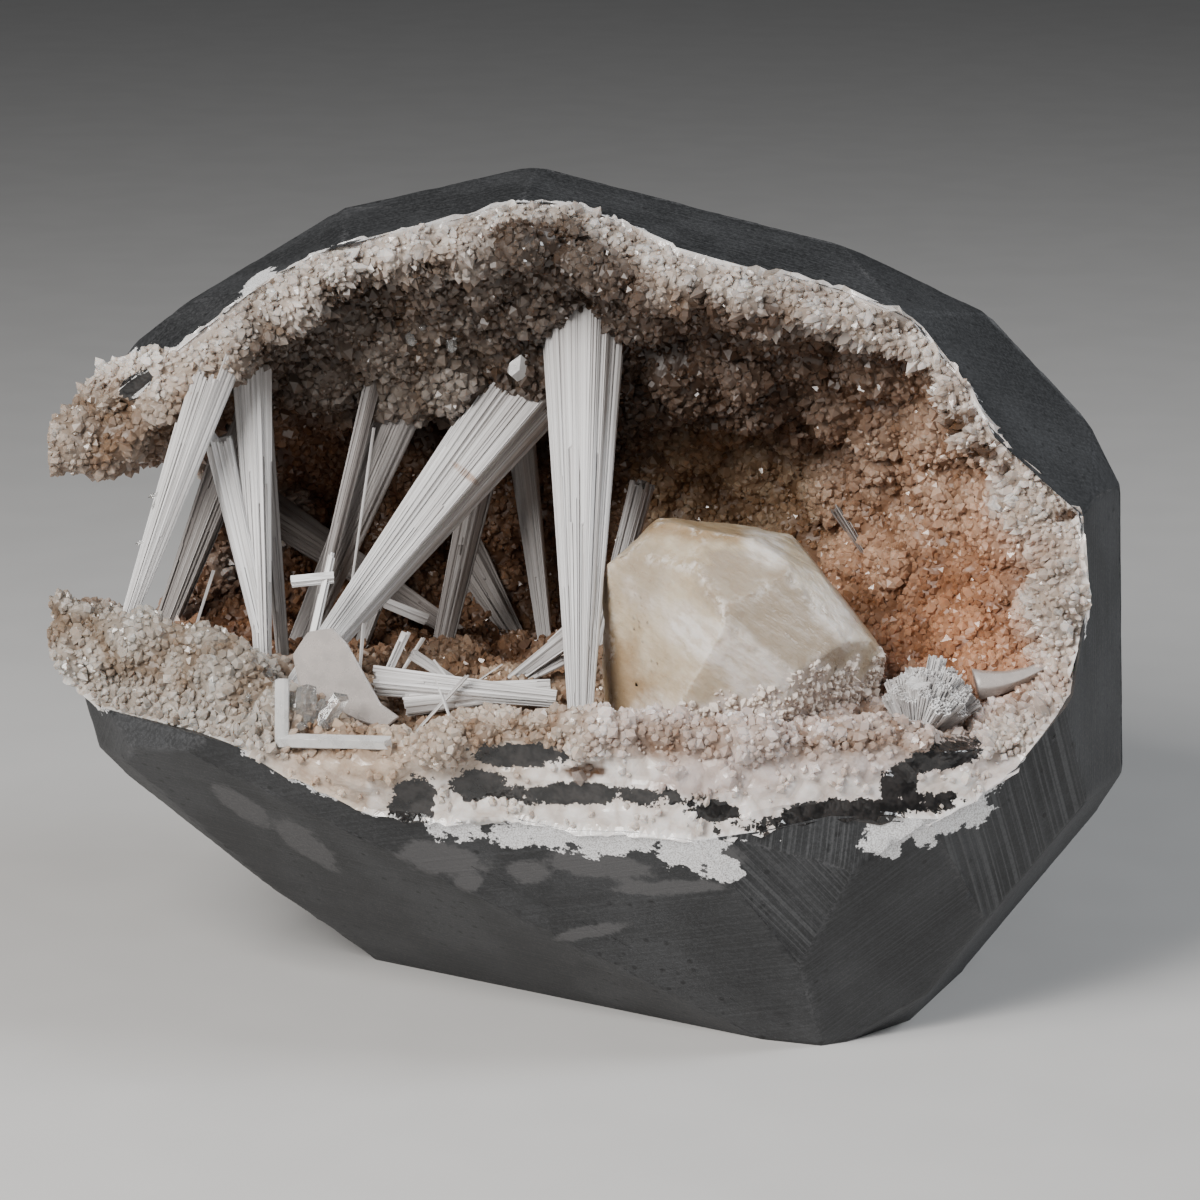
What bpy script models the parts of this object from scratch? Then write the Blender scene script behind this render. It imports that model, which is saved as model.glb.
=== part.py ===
"""Scolecite geode: a sawn basalt block with a druse lined hollow, sprays and a calcite.

Sizes are metres, +Z up, +X to the right of the mouth, -Y out of the mouth.
The origin is on the resting base under the middle of the block.

Two frames are used. The block's flats are given about MOUTH, the middle of the
mouth. The hollow and what grows in it are given in the mouth frame: x to the
right, depth into the rock, z up in the plane of the mouth, which leans back
by MOUTH_LEAN.
"""
import math
import random

import bmesh
import bpy
from mathutils import Vector, noise

MM = 0.001

# Driving sizes
MOUTH = Vector((1.8, 0.2, 72.0))
MOUTH_LEAN = math.radians(14.0)
GAP = 0.35
MERGE = 0.02
WELD = 0.1

X_AXIS = Vector((1.0, 0.0, 0.0))
IN_AXIS = Vector((0.0, math.cos(MOUTH_LEAN), -math.sin(MOUTH_LEAN)))
UP_AXIS = Vector((0.0, math.sin(MOUTH_LEAN), math.cos(MOUTH_LEAN)))

# Sawn and broken flats of the basalt: name, azimuth, elevation, distance from MOUTH in mm
FLATS = (
    ("base", 0, -90, 72),
    ("top left", -148, 77, 77.5),
    ("upper left", -165, 63, 83.5),
    ("upper left, low", -150, 48, 85),
    ("top right", -38, 74, 70.5),
    ("top right, low", -13, 65, 77),
    ("right upper", -24, 46, 81),
    ("right middle", -16, 32, 92),
    ("right sawn end", -19, 5, 94.5),
    ("rim band", -78, -4, 73),
    ("striated left", -82, -15, 75),
    ("striated right", -57, -15, 86.5),
    ("fine band", -66, -21, 83),
    ("bottom strip", -46, -45, 97),
    ("right low", -23, -35, 96),
    ("dark middle", -108, -30, 65.5),
    ("dark left", -122, -45, 67),
    ("left outer", -150, -46, 80),
    ("left under the lip", -152, -16, 94.3),
    ("front left", -132, 9, 80),
    ("front", -90, 15, 62),
    ("left wall", 150, -6, 78),
    ("left tip", 169, -11, 92),
    ("left low back", -175, -50, 83),
    ("back left tip", 155, 23, 94.4),
    ("back upper left", 146, 47, 87.7),
    ("back top left", 118, 60, 82),
    ("back top right", 57, 62, 75.8),
    ("back top right, low", 49, 51, 78.2),
    ("back right upper", 33, 32, 86.5),
    ("back right middle", 21, 17, 94.5),
    ("back right", 10, -2, 96),
    ("back low right", 7, -42, 99),
    ("back", 90, 5, 66),
    ("back low", 90, -42, 68),
    ("back low left", 140, -35, 76),
)

# Middle of the hollow in the mouth frame, about which both outlines are star shaped
HUB_X = 0.0
HUB_Z = 16.0

# Where the crust meets the basalt round the mouth: x, z, depth
ROCK_EDGE = (
    (-112, 37, -18), (-98, 39, -18), (-87, 42, -19), (-80, 45, -20), (-74, 50, -21),
    (-66, 56, -22), (-57, 62, -24), (-49, 66, -25), (-31, 69, -25), (-16, 74, -24),
    (-10, 75, -24), (2, 72, -25), (12, 65, -26), (24, 61, -27), (37, 60, -27),
    (50, 55, -28), (60, 50, -29), (66, 41, -30), (71, 30, -32), (81, 23, -33),
    (87, 17, -33), (88, 4, -34), (90, -4, -34), (86, -16, -36), (80, -27, -40),
    (72, -32, -44), (59, -40, -50), (50, -37, -54), (36, -39, -58), (20, -43, -60),
    (8, -41, -60), (-7, -41, -59), (-19, -38, -57), (-29, -40, -54), (-40, -39, -50),
    (-50, -35, -46), (-56, -31, -44), (-62, -27, -42), (-70, -25, -38), (-77, -29, -32),
    (-85, -25, -26), (-92, -20, -20), (-99, -16, -18), (-112, -14, -18),
)

# Inner edge of the white rim, where the crust turns into the hollow
CRUST_EDGE = (
    (-108, 29, -18), (-96, 29, -18), (-85, 34, -19), (-77, 37, -20), (-70, 42, -21),
    (-64, 46, -22), (-57, 53, -24), (-48, 58, -25), (-37, 60, -25), (-27, 62, -25),
    (-18, 64, -24), (-11, 65, -24), (0, 60, -25), (8, 56, -26), (17, 53, -27),
    (26, 51, -27), (37, 53, -28), (46, 49, -28), (55, 46, -29), (62, 42, -30),
    (65, 33, -31), (73, 22, -33), (79, 15, -33), (83, 7, -34), (83, -3, -34),
    (84, -11, -35), (80, -18, -38), (74, -25, -42), (65, -26, -46), (59, -25, -50),
    (36, -24, -58), (14, -23, -60), (0, -22, -60), (-7, -21, -59), (-16, -21, -57),
    (-25, -23, -55), (-32, -28, -52), (-39, -30, -48), (-48, -25, -44), (-57, -18, -38),
    (-63, -9, -32), (-77, -6, -24), (-92, -3, -18), (-108, -2, -18),
)

# Inside the hollow: depth, then left, right, floor and ceiling in the mouth frame
CRYSTAL_SECTIONS = (
    (-60, -108, 84, -30, 66),
    (-20, -108, 80, -21, 60),
    (0, -106, 69, -16, 46),
    (14, -100, 60, -12, 36),
    (24, -84, 53, -9, 40),
    (34, -64, 44, -7, 37),
    (42, -44, 32, -3, 30),
    (48, -16, 12, 8, 22),
)
ROCK_SECTIONS = (
    (-60, -112, 90, -44, 75),
    (-20, -112, 88, -34, 69),
    (0, -111, 77, -27, 57),
    (14, -106, 68, -22, 50),
    (24, -94, 61, -19, 50),
    (34, -74, 53, -17, 46),
    (44, -54, 40, -12, 38),
    (55, -18, 14, 4, 24),
)
# Nodules that swell out of the crust toward the hub: x, depth, z, radius, height
NODULES = (
    (-31, 6, 43, 11, 5.5),
    (-36, -8, 54, 10, 4.5),
    (-2, 2, 47, 10, 3.5),
    (22, 4, 42, 10, 3.5),
    (-70, 22, 2, 9, 3.0),
    (28, 33, 18, 10, 5.5),
    (45, 24, 21, 10, 5.5),
    (63, 8, 2, 11, 5.5),
    (73, -8, -9, 9, 4.0),
    (65, 3, 32, 9, 4.5),
    (8, 38, 6, 11, 4.0),
    (50, 16, 0, 9, 4.0),
)

# Lumps that hang from the ceiling: x, depth, z, radius, drop
HANGING_LUMPS = (
    (-84, -2, 34, 17, 10.0),
    (-92, -12, 31, 12, 6.0),
)

# Where the hollow runs out past the rock, and how it turns from the rim into its walls
FRONT_DEPTH = -112.0
RIM_RECESS = 0.8
SECTION_POWER = 2.6
BLEND = 0.34
RIM_STEPS = (0.12, 0.42, 0.74, 1.0)
LINING_TURN = 0.37
ROCK_GRID = (34, 7)
LINING_GRID = (66, 13)
PROUD = 1.3
BLANK = 0.4


def place(x, depth, z):
    """A point of the mouth frame, in mm, as a point of the part in metres."""
    return (MOUTH + X_AXIS * x + IN_AXIS * depth + UP_AXIS * z) * MM


def direction(azimuth, elevation):
    a = math.radians(azimuth)
    e = math.radians(elevation)
    return Vector((math.cos(e) * math.cos(a), math.cos(e) * math.sin(a), math.sin(e)))


def clear_file():
    for item in list(bpy.data.objects):
        bpy.data.objects.remove(item, do_unlink=True)
    for item in list(bpy.data.meshes):
        bpy.data.meshes.remove(item)
    for item in list(bpy.data.collections):
        bpy.data.collections.remove(item)


def material(name, colour, roughness):
    made = bpy.data.materials.new(name)
    made.use_nodes = True
    shader = made.node_tree.nodes["Principled BSDF"]
    shader.inputs["Base Color"].default_value = (*colour, 1.0)
    shader.inputs["Roughness"].default_value = roughness
    made.diffuse_color = (*colour, 1.0)
    return made


def keep_object(name, bm, collection, look=None):
    """Turn a bmesh into an object with its normals facing out."""
    bmesh.ops.recalc_face_normals(bm, faces=bm.faces)
    mesh = bpy.data.meshes.new(name)
    bm.to_mesh(mesh)
    bm.free()
    made = bpy.data.objects.new(name, mesh)
    collection.objects.link(made)
    if look:
        mesh.materials.append(look)
    return made


def saw(bm, normal, distance, about):
    """Cut everything beyond a flat away and close the cut."""
    everything = list(bm.verts) + list(bm.edges) + list(bm.faces)
    cut = bmesh.ops.bisect_plane(
        bm, geom=everything, dist=1e-7, plane_co=about + normal * distance,
        plane_no=normal, clear_outer=True)
    edges = [item for item in cut["geom_cut"] if isinstance(item, bmesh.types.BMEdge)]
    if edges:
        bmesh.ops.edgeloop_fill(bm, edges=edges)


def sawn_solid(flats, about, size, proud=0.0):
    """A convex solid from its flats: (name, azimuth, elevation, distance in mm)."""
    bm = bmesh.new()
    bmesh.ops.create_cube(bm, size=size)
    bmesh.ops.translate(bm, verts=bm.verts, vec=about)
    for _name, azimuth, elevation, distance in flats:
        saw(bm, direction(azimuth, elevation), (distance + proud) * MM, about)
    bmesh.ops.remove_doubles(bm, verts=bm.verts, dist=WELD * MM)
    bmesh.ops.dissolve_limit(bm, angle_limit=math.radians(0.5), verts=bm.verts, edges=bm.edges)
    return bm


def edge_at(outline, angle):
    """Radius and depth of an outline in a direction from the hub."""
    ux = math.cos(angle)
    uz = math.sin(angle)
    best = None
    count = len(outline)
    for i in range(count):
        x0, z0, d0 = outline[i]
        x1, z1, d1 = outline[(i + 1) % count]
        px = x0 - HUB_X
        pz = z0 - HUB_Z
        ex = x1 - x0
        ez = z1 - z0
        det = ux * ez - uz * ex
        if abs(det) < 1e-9:
            continue
        radius = (px * ez - pz * ex) / det
        along = (px * uz - pz * ux) / det
        if radius > 0 and -1e-6 <= along <= 1 + 1e-6:
            if best is None or radius < best[0]:
                best = (radius, d0 + along * (d1 - d0))
    return best


def section_at(sections, depth, angle):
    """Radius of the hollow's section at a depth, in a direction from the hub."""
    low = sections[0]
    high = sections[-1]
    for i in range(len(sections) - 1):
        if sections[i][0] <= depth <= sections[i + 1][0]:
            low = sections[i]
            high = sections[i + 1]
    part = 0.0
    if high[0] > low[0]:
        part = min(max((depth - low[0]) / (high[0] - low[0]), 0.0), 1.0)
    if depth > sections[-1][0]:
        low = sections[-1]
        part = 0.0
    sizes = [low[k] + part * (high[k] - low[k]) for k in range(1, 5)]
    left, right, floor, ceiling = sizes
    wide = right - HUB_X if math.cos(angle) > 0 else HUB_X - left
    high_side = ceiling - HUB_Z if math.sin(angle) > 0 else HUB_Z - floor
    a = abs(math.cos(angle)) / wide
    b = abs(math.sin(angle)) / high_side
    return (a ** SECTION_POWER + b ** SECTION_POWER) ** (-1.0 / SECTION_POWER)


def surface_depth(x, z):
    """Depth at which a line into the mouth meets the sawn block, or None beside it."""
    enter = -400.0
    leave = 400.0
    for _name, azimuth, elevation, distance in FLATS:
        normal = direction(azimuth, elevation)
        slope = normal.dot(IN_AXIS)
        room = distance - normal.dot(X_AXIS * x + UP_AXIS * z)
        if slope < -1e-4:
            enter = max(enter, room / slope)
        elif slope > 1e-4:
            leave = min(leave, room / slope)
    return enter if enter < leave else None


def rim(angle):
    """Both edges of the white rim in a direction from the hub: radius and depth of each."""
    rock_radius, rock_depth = edge_at(ROCK_EDGE, angle)
    crust_radius, crust_depth = edge_at(CRUST_EDGE, angle)
    met = surface_depth(HUB_X + rock_radius * math.cos(angle), HUB_Z + rock_radius * math.sin(angle))
    if met is not None and abs(met - rock_depth) < 14:
        rock_depth = met + RIM_RECESS
    return rock_radius, rock_depth, crust_radius, crust_depth


def wall(start_radius, start_depth, sections, angle, run):
    """Radius and depth of the hollow's wall, at a part of the way from the rim to the back."""
    last = sections[-1][0]
    depth = start_depth + run * (last - start_depth)
    part = min(run / BLEND, 1.0)
    part = part * part * (3 - 2 * part)
    radius = start_radius + part * (section_at(sections, depth, angle) - start_radius)
    return radius, depth


def hollow(lined, shrink=0.0):
    """A closed loft for the hollow, open to the front and out through the left.

    Without a lining it is the basalt's hollow. Lined, it is the space inside the
    crust, and its first rings are the bumpy face of the white rim.
    """
    sections = CRYSTAL_SECTIONS if lined else ROCK_SECTIONS
    angle_count, steps = LINING_GRID if lined else ROCK_GRID
    columns = []
    for k in range(angle_count):
        angle = 2.0 * math.pi * (k + (LINING_TURN if lined else 0.0)) / angle_count
        rock_radius, rock_depth, crust_radius, crust_depth = rim(angle)
        if lined:
            outer = rock_radius + 1.5 - shrink
            column = [(outer, FRONT_DEPTH), (outer, rock_depth - shrink)]
            for part in RIM_STEPS:
                radius = rock_radius + part * (crust_radius - rock_radius)
                depth = rock_depth + part * (crust_depth - rock_depth)
                point = Vector((radius * math.cos(angle), depth, radius * math.sin(angle)))
                depth += lumps(point) * (1.0 if 0.2 < part < 0.9 else 0.35)
                column.append((radius - shrink, depth - shrink))
            start_radius, start_depth = crust_radius, crust_depth
        else:
            start_radius, start_depth = rock_radius, rock_depth
            column = [(start_radius - shrink, FRONT_DEPTH), (start_radius - shrink, start_depth)]
        for step in range(1, steps + 1):
            run = (step / (steps + 1.0)) ** 0.9
            radius, depth = wall(start_radius, start_depth, sections, angle, run)
            if lined:
                point = Vector((radius * math.cos(angle), depth, radius * math.sin(angle)))
                radius += lumps(point) - nodules(point)
            column.append((radius - shrink, depth))
        columns.append([
            wall_point(angle, radius, depth, hanging=lined and step > 0) for step, (radius, depth)
            in enumerate(column)])
    rings = [[column[step] for column in columns] for step in range(len(columns[0]))]
    return loft(rings, place(HUB_X, sections[-1][0] - shrink, HUB_Z))


def wall_point(angle, radius, depth, hanging):
    """A point of the hollow's wall in metres, lowered where a lump hangs from the ceiling."""
    point = Vector((HUB_X + radius * math.cos(angle), depth, HUB_Z + radius * math.sin(angle)))
    drop = 0.0
    if hanging:
        for x, lump_depth, z, reach, most in HANGING_LUMPS:
            away = (point - Vector((x, lump_depth, z))).length / reach
            if away < 1.0:
                drop = max(drop, most * (1.0 - away * away))
    return place(point.x, point.y, point.z - drop)


def lumps(point):
    """Pointed bumps about 9 mm apart on rounder swells about 30 mm across."""
    swell = noise.noise(point / 24.0 + Vector((3.1, 0.4, 7.7)))
    nearest = noise.voronoi(point / 9.0 + Vector((1.3, 5.2, 2.9)))[0]
    peak = max(0.0, 1.0 - nearest[0] / 0.62)
    fine = noise.noise(point / 4.0)
    return 1.4 * swell - 2.8 * peak + 1.1 * fine


def nodules(point):
    """How far the nodules stand out of the wall at a point, given from the hub."""
    total = 0.0
    for x, depth, z, radius, height in NODULES:
        away = (point - Vector((x - HUB_X, depth, z - HUB_Z))).length / radius
        if away < 1.0:
            total = max(total, height * (1.0 - away * away))
    return total


def loft(rings, tip=None):
    """Join rings of the same count into one closed skin."""
    bm = bmesh.new()
    made = [[bm.verts.new(point) for point in ring] for ring in rings]
    count = len(rings[0])
    for i in range(len(made) - 1):
        for k in range(count):
            n = (k + 1) % count
            quad = (made[i][k], made[i][n], made[i + 1][n], made[i + 1][k])
            if (i + k) % 2:
                bm.faces.new((quad[0], quad[1], quad[2]))
                bm.faces.new((quad[0], quad[2], quad[3]))
            else:
                bm.faces.new((quad[0], quad[1], quad[3]))
                bm.faces.new((quad[1], quad[2], quad[3]))
    bm.faces.new(made[0])
    if tip is None:
        bm.faces.new(made[-1])
    else:
        end = bm.verts.new(tip)
        for k in range(count):
            bm.faces.new((made[-1][k], made[-1][(k + 1) % count], end))
    return bm


def boolean(target, tool, operation, solver="EXACT"):
    step = target.modifiers.new(operation.lower(), "BOOLEAN")
    step.operation = operation
    step.solver = solver
    step.object = tool
    apply(target)


def apply(target):
    """Bake the modifiers into the mesh."""
    graph = bpy.context.evaluated_depsgraph_get()
    baked = bpy.data.meshes.new_from_object(target.evaluated_get(graph))
    target.modifiers.clear()
    old = target.data
    target.data = baked
    bpy.data.meshes.remove(old)


def tidy(target, look):
    """Keep the largest island, merge short edges and leave one material."""
    bm = bmesh.new()
    bm.from_mesh(target.data)
    bmesh.ops.remove_doubles(bm, verts=bm.verts, dist=MERGE * MM)
    bmesh.ops.dissolve_degenerate(bm, edges=bm.edges, dist=MERGE * MM * 0.5)
    left = set(bm.faces)
    islands = []
    while left:
        stack = [left.pop()]
        island = list(stack)
        while stack:
            face = stack.pop()
            for edge in face.edges:
                for other in edge.link_faces:
                    if other in left:
                        left.discard(other)
                        stack.append(other)
                        island.append(other)
        islands.append(island)
    islands.sort(key=lambda part: -sum(face.calc_area() for face in part))
    drop = [face for part in islands[1:] for face in part]
    if drop:
        bmesh.ops.delete(bm, geom=drop, context="FACES")
    bmesh.ops.recalc_face_normals(bm, faces=bm.faces)
    for face in bm.faces:
        face.material_index = 0
    bm.to_mesh(target.data)
    bm.free()
    target.data.materials.clear()
    target.data.materials.append(look)


def crystal(name, base, out, length, width, seed):
    """One six sided crystal with a bevelled flat point, standing along out. Metres."""
    rng = random.Random(seed)
    bm = bmesh.new()
    bmesh.ops.create_cone(
        bm, segments=6, cap_ends=True, radius1=width, radius2=width * rng.uniform(0.75, 0.95), depth=length)
    bmesh.ops.translate(bm, verts=bm.verts, vec=(0, 0, length * 0.2))
    top = Vector((0, 0, length * 0.7))
    for k in range(3):
        lean = math.radians(rng.uniform(30, 58))
        turn = k * 2.094 + rng.uniform(-0.4, 0.4)
        normal = Vector((math.sin(lean) * math.cos(turn), math.sin(lean) * math.sin(turn), math.cos(lean)))
        saw(bm, normal, width * rng.uniform(-0.15, 0.25), top - Vector((0, 0, width * 0.3)))
    spin = Vector((0, 0, 1)).rotation_difference(out.normalized()).to_matrix().to_4x4()
    bmesh.ops.rotate(bm, verts=bm.verts, cent=(0, 0, 0), matrix=spin)
    bmesh.ops.translate(bm, verts=bm.verts, vec=base)
    return keep_object(name, bm, tools)


def spray(root, end, root_width, end_width, flutes=16, ragged=0.05, seed=1, flat=1.0):
    """A fluted bundle that widens from its root, with a stepped end. Mouth frame, mm."""
    rng = random.Random(seed)
    start = Vector(root)
    finish = Vector(end)
    along = (finish - start)
    length = along.length
    along.normalize()
    side = along.cross(Vector((0, 1, 0))).normalized()
    if side.length < 0.5:
        side = Vector((1, 0, 0))
    deep = along.cross(side)
    ribs = []
    for k in range(flutes):
        ribs.append((0.84 if k % 2 else 1.0) * rng.uniform(0.9, 1.06))
    steps = [rng.uniform(-ragged, ragged) for _ in range(flutes)]
    rings = []
    for part in (0.0, 0.45, 1.0):
        ring = []
        half = 0.5 * (root_width + (end_width - root_width) * part ** 1.15)
        for k in range(flutes):
            angle = 2 * math.pi * k / flutes
            radius = half * ribs[k]
            push = 0.0
            if part == 1.0:
                push = length * steps[k // 2 * 2 % flutes]
            point = start + along * (length * part + push)
            point = point + side * (radius * math.cos(angle))
            point = point + deep * (radius * math.sin(angle) * flat)
            ring.append(place(point.x, point.y, point.z))
        rings.append(ring)
    return loft(rings)


def clear_of_pieces(point, room):
    """Whether a point of the mouth frame keeps its distance from every bundle and crystal."""
    for start, end, half in AXES:
        along = end - start
        part = min(max((point - start).dot(along) / along.length_squared, 0.0), 1.0)
        if (point - start - along * part).length < room + half:
            return False
    for middle, radius in KEEP_CLEAR:
        if (point - Vector(middle)).length < room + radius:
            return False
    return True


def wall_crystals(count, seed):
    """Larger crystals standing on the lining and on the white rim, none near a piece."""
    rng = random.Random(seed)
    placed = []
    made = []
    tries = 0
    while len(made) < count and tries < count * 30:
        tries += 1
        angle = rng.uniform(0, 2 * math.pi)
        run = rng.uniform(-0.5, 0.8)
        rock_radius, rock_depth, radius, depth = rim(angle)
        if run < 0:
            part = 1.0 + run
            radius = rock_radius + part * (radius - rock_radius)
            depth = rock_depth + part * (depth - rock_depth)
            out = IN_AXIS * -0.9 + UP_AXIS * 0.35
        else:
            radius, depth = wall(radius, depth, CRYSTAL_SECTIONS, angle, run)
            out = IN_AXIS * (-0.25 - run * 0.8)
            out = out - X_AXIS * math.cos(angle) - UP_AXIS * math.sin(angle)
        local = Vector((HUB_X + radius * math.cos(angle), depth, HUB_Z + radius * math.sin(angle)))
        if abs(local.x) > 84 or (local.x < -60 and -8 < local.z < 30):
            continue
        if not clear_of_pieces(local, 8.5):
            continue
        if any((local - other).length < 8.0 for other in placed):
            continue
        placed.append(local)
        swell = Vector((radius * math.cos(angle), depth, radius * math.sin(angle)))
        sunk = lumps(swell) - (nodules(swell) if run > 0 else 0.0)
        spread = Vector((rng.uniform(-1, 1), rng.uniform(-1, 1), rng.uniform(-1, 1))) * 0.45
        base = wall_point(angle, radius, depth, hanging=run > 0) - out.normalized() * sunk * 0.6 * MM
        size = rng.uniform(2.2, 3.4) * (0.8 if run < 0 else 1.0)
        made.append(crystal("druse_point", base, out + spread, size * 2.4 * MM, size * MM, seed + tries))
    return made


def mouth_direction(around, toward):
    """A normal seen at an angle in the plane of the mouth, turned toward the viewer."""
    a = math.radians(around)
    t = math.radians(toward)
    flat = X_AXIS * math.cos(a) + UP_AXIS * math.sin(a)
    return flat * math.cos(t) - IN_AXIS * math.sin(t)


def grown_solid(flats, middle, size):
    """A convex crystal from flats given in the plane of the mouth: around, toward, distance."""
    about = place(*middle)
    bm = bmesh.new()
    bmesh.ops.create_cube(bm, size=size * MM)
    bmesh.ops.translate(bm, verts=bm.verts, vec=about)
    for around, toward, distance in flats:
        saw(bm, mouth_direction(around, toward), distance * MM, about)
    bmesh.ops.remove_doubles(bm, verts=bm.verts, dist=WELD * MM)
    bmesh.ops.triangulate(bm, faces=[face for face in bm.faces if len(face.verts) > 4])
    return bm


def plate(name, outline, depth, thickness):
    """A flat crystal: an outline in the plane of the mouth, in mm, drawn as a filled curve."""
    curve = bpy.data.curves.new(name, "CURVE")
    curve.dimensions = "2D"
    curve.fill_mode = "BOTH"
    curve.extrude = thickness * 0.5 * MM
    line = curve.splines.new("POLY")
    line.points.add(len(outline) - 1)
    for point, (x, z) in zip(line.points, outline):
        point.co = (x * MM, z * MM, 0.0, 1.0)
    line.use_cyclic_u = True
    drawn = bpy.data.objects.new(name, curve)
    tools.objects.link(drawn)
    graph = bpy.context.evaluated_depsgraph_get()
    mesh = bpy.data.meshes.new_from_object(drawn.evaluated_get(graph))
    bpy.data.objects.remove(drawn, do_unlink=True)
    bm = bmesh.new()
    bm.from_mesh(mesh)
    bpy.data.meshes.remove(mesh)
    bmesh.ops.remove_doubles(bm, verts=bm.verts, dist=WELD * MM)
    for vert in bm.verts:
        flat = vert.co / MM
        vert.co = place(flat.x, depth - flat.z, flat.y)
    return bm


def join(target, others):
    for other in others:
        boolean(target, other, "UNION")
        bpy.data.objects.remove(other, do_unlink=True)


def clear_crystal(name, base, out, length, width, seed):
    """A clear crystal as a piece of its own: base in the mouth frame, sizes in mm."""
    made = crystal(name, place(*base), out, length * MM, width * MM, seed)
    tools.objects.unlink(made)
    parts.objects.link(made)
    return made


def finish(target, look):
    """Cut a grown piece back to the free space of the hollow and tidy it."""
    boolean(target, free_space, "INTERSECT")
    tidy(target, look)


def grow(name, look, *bundles):
    """A node of one or more fluted bundles, joined where they cross."""
    for bundle in bundles:
        AXES.append((Vector(bundle[0]), Vector(bundle[1]), 0.5 * max(bundle[2], bundle[3])))
    made = keep_object(name, spray(*bundles[0]), parts, look)
    others = [keep_object(name + "_arm", spray(*bundle), tools) for bundle in bundles[1:]]
    join(made, others)
    finish(made, look)
    return made


clear_file()
parts = bpy.data.collections.new("scolecite_geode")
tools = bpy.data.collections.new("scolecite_geode_cutters")
bpy.context.scene.collection.children.link(parts)
bpy.context.scene.collection.children.link(tools)

basalt_look = material("basalt", (0.10, 0.105, 0.11), 0.7)
druse_look = material("quartz_druse", (0.72, 0.66, 0.60), 0.4)
scolecite_look = material("scolecite", (0.86, 0.86, 0.84), 0.35)
calcite_look = material("calcite", (0.80, 0.72, 0.60), 0.35)
clear_look = material("clear_crystal", (0.90, 0.90, 0.88), 0.1)

AXES = []
KEEP_CLEAR = [((26, -28, -5), 28), ((-47, -34, -15), 11), ((73, -33, -14), 10), ((59, -38, -19), 10),
              ((-15, 0, 48), 4)]

# Basalt: the sawn block less the hollow
mouth_point = MOUTH * MM
rock = keep_object("basalt_shell", sawn_solid(FLATS, mouth_point, BLANK), parts, basalt_look)
envelope = keep_object("sawn_block", sawn_solid(FLATS, mouth_point, BLANK, proud=PROUD), tools)
rock_hollow = keep_object("rock_hollow", hollow(lined=False), tools)
boolean(rock, rock_hollow, "DIFFERENCE")
tidy(rock, basalt_look)

# Crust: what fills the rock's hollow round the crystal lined one
crust = keep_object("druse_crust", hollow(lined=False, shrink=GAP), parts, druse_look)
crystal_hollow = keep_object("crystal_hollow", hollow(lined=True), tools)
free_space = keep_object("free_space", hollow(lined=True, shrink=GAP), tools)
boolean(crust, crystal_hollow, "DIFFERENCE")
boolean(crust, envelope, "INTERSECT")

# Sprays of scolecite: root, end, root width, end width, flutes, stepping of the end, seed
grow("spray_left_front", scolecite_look, ((-89, -21, -8), (-71.5, -21, 42), 3.2, 8.6, 14, 0.02, 1))
grow("spray_left_back", scolecite_look, ((-86, 8, -12), (-67, 9, 38), 3.8, 9.0, 12, 0.02, 2))
grow("spray_left_split", scolecite_look,
     ((-63, -10, -18), (-66, -9, 52), 4.2, 8.4, 14, 0.02, 3),
     ((-63.5, -10, -6), (-71.5, -11, 30.5), 3.4, 5.6, 12, 0.07, 4))
grow("spray_left_strip", scolecite_look, ((-59.5, -1, -18), (-65, -1, 48), 2.4, 4.2, 10, 0.02, 5))
grow("spray_long_back", scolecite_look, ((-60, 12, -14), (-36, 12, 42), 4.6, 9.0, 14, 0.02, 6))
grow("spray_thin_pair", scolecite_look, ((-57, 4, -14), (-43, 5, 44), 1.6, 3.2, 8, 0.02, 7))
grow("spray_main_diagonal", scolecite_look, ((-57, -18, -16), (-12, 14, 44), 5.2, 18.0, 20, 0.02, 8))
grow("spray_middle_slim", scolecite_look, ((-10, 25, -14), (-17, 25, 44), 2.6, 6.6, 12, 0.02, 9))
grow("spray_middle_back", scolecite_look, ((-32, 17, -16), (-22.5, 22, 27), 3.6, 6.6, 12, 0.06, 10))
grow("spray_deep_right", scolecite_look, ((-13, 29, -14), (-27, 46, 8), 3.0, 9.6, 12, 0.02, 11))
grow("spray_deep_left", scolecite_look, ((-24, 26, -9), (-74, 35, 23), 3.0, 10.0, 14, 0.02, 12))
grow("spray_front_upright", scolecite_look, ((-3.6, -48, -32), (-3.2, 4, 60), 3.2, 17.6, 22, 0.02, 13))
grow("spray_behind_calcite", scolecite_look, ((-2.5, 13, -18), (8.4, 8, 23.0), 3.0, 5.0, 10, 0.06, 14))
grow("spray_lying", scolecite_look,
     ((-8, -29, -18), (-42, -27, -14.5), 3.2, 5.6, 14, 0.07, 15),
     ((-9, -28, -16), (-36, -26, -18.6), 3.0, 6.0, 12, 0.05, 16))
grow("splinters", scolecite_look,
     ((-17, -15, -22), (-35.5, -17, -10.0), 1.6, 2.6, 8, 0.06, 17),
     ((-17.5, -15, -22), (-34.5, -13, -13.0), 1.6, 2.4, 8, 0.06, 18))
grow("shards_right", scolecite_look,
     ((-23, -9, -20), (-5, -8, -6.5), 2.0, 4.2, 10, 0.08, 19),
     ((-22.5, -9, -20), (-6, -7, -12), 2.0, 4.0, 10, 0.08, 20))
grow("needle_leaning", scolecite_look, ((-43.5, -19, -22), (-36, -19, -5.6), 1.2, 1.6, 8, 0.02, 21))
grow("needle_upright", scolecite_look,
     ((-55, -26, -16), (-49.5, -24, 9.0), 1.6, 1.3, 8, 0.02, 22),
     ((-57, -25.5, 3.6), (-49.2, -24.3, 4.4), 1.7, 1.7, 6, 0.02, 23))
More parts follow.
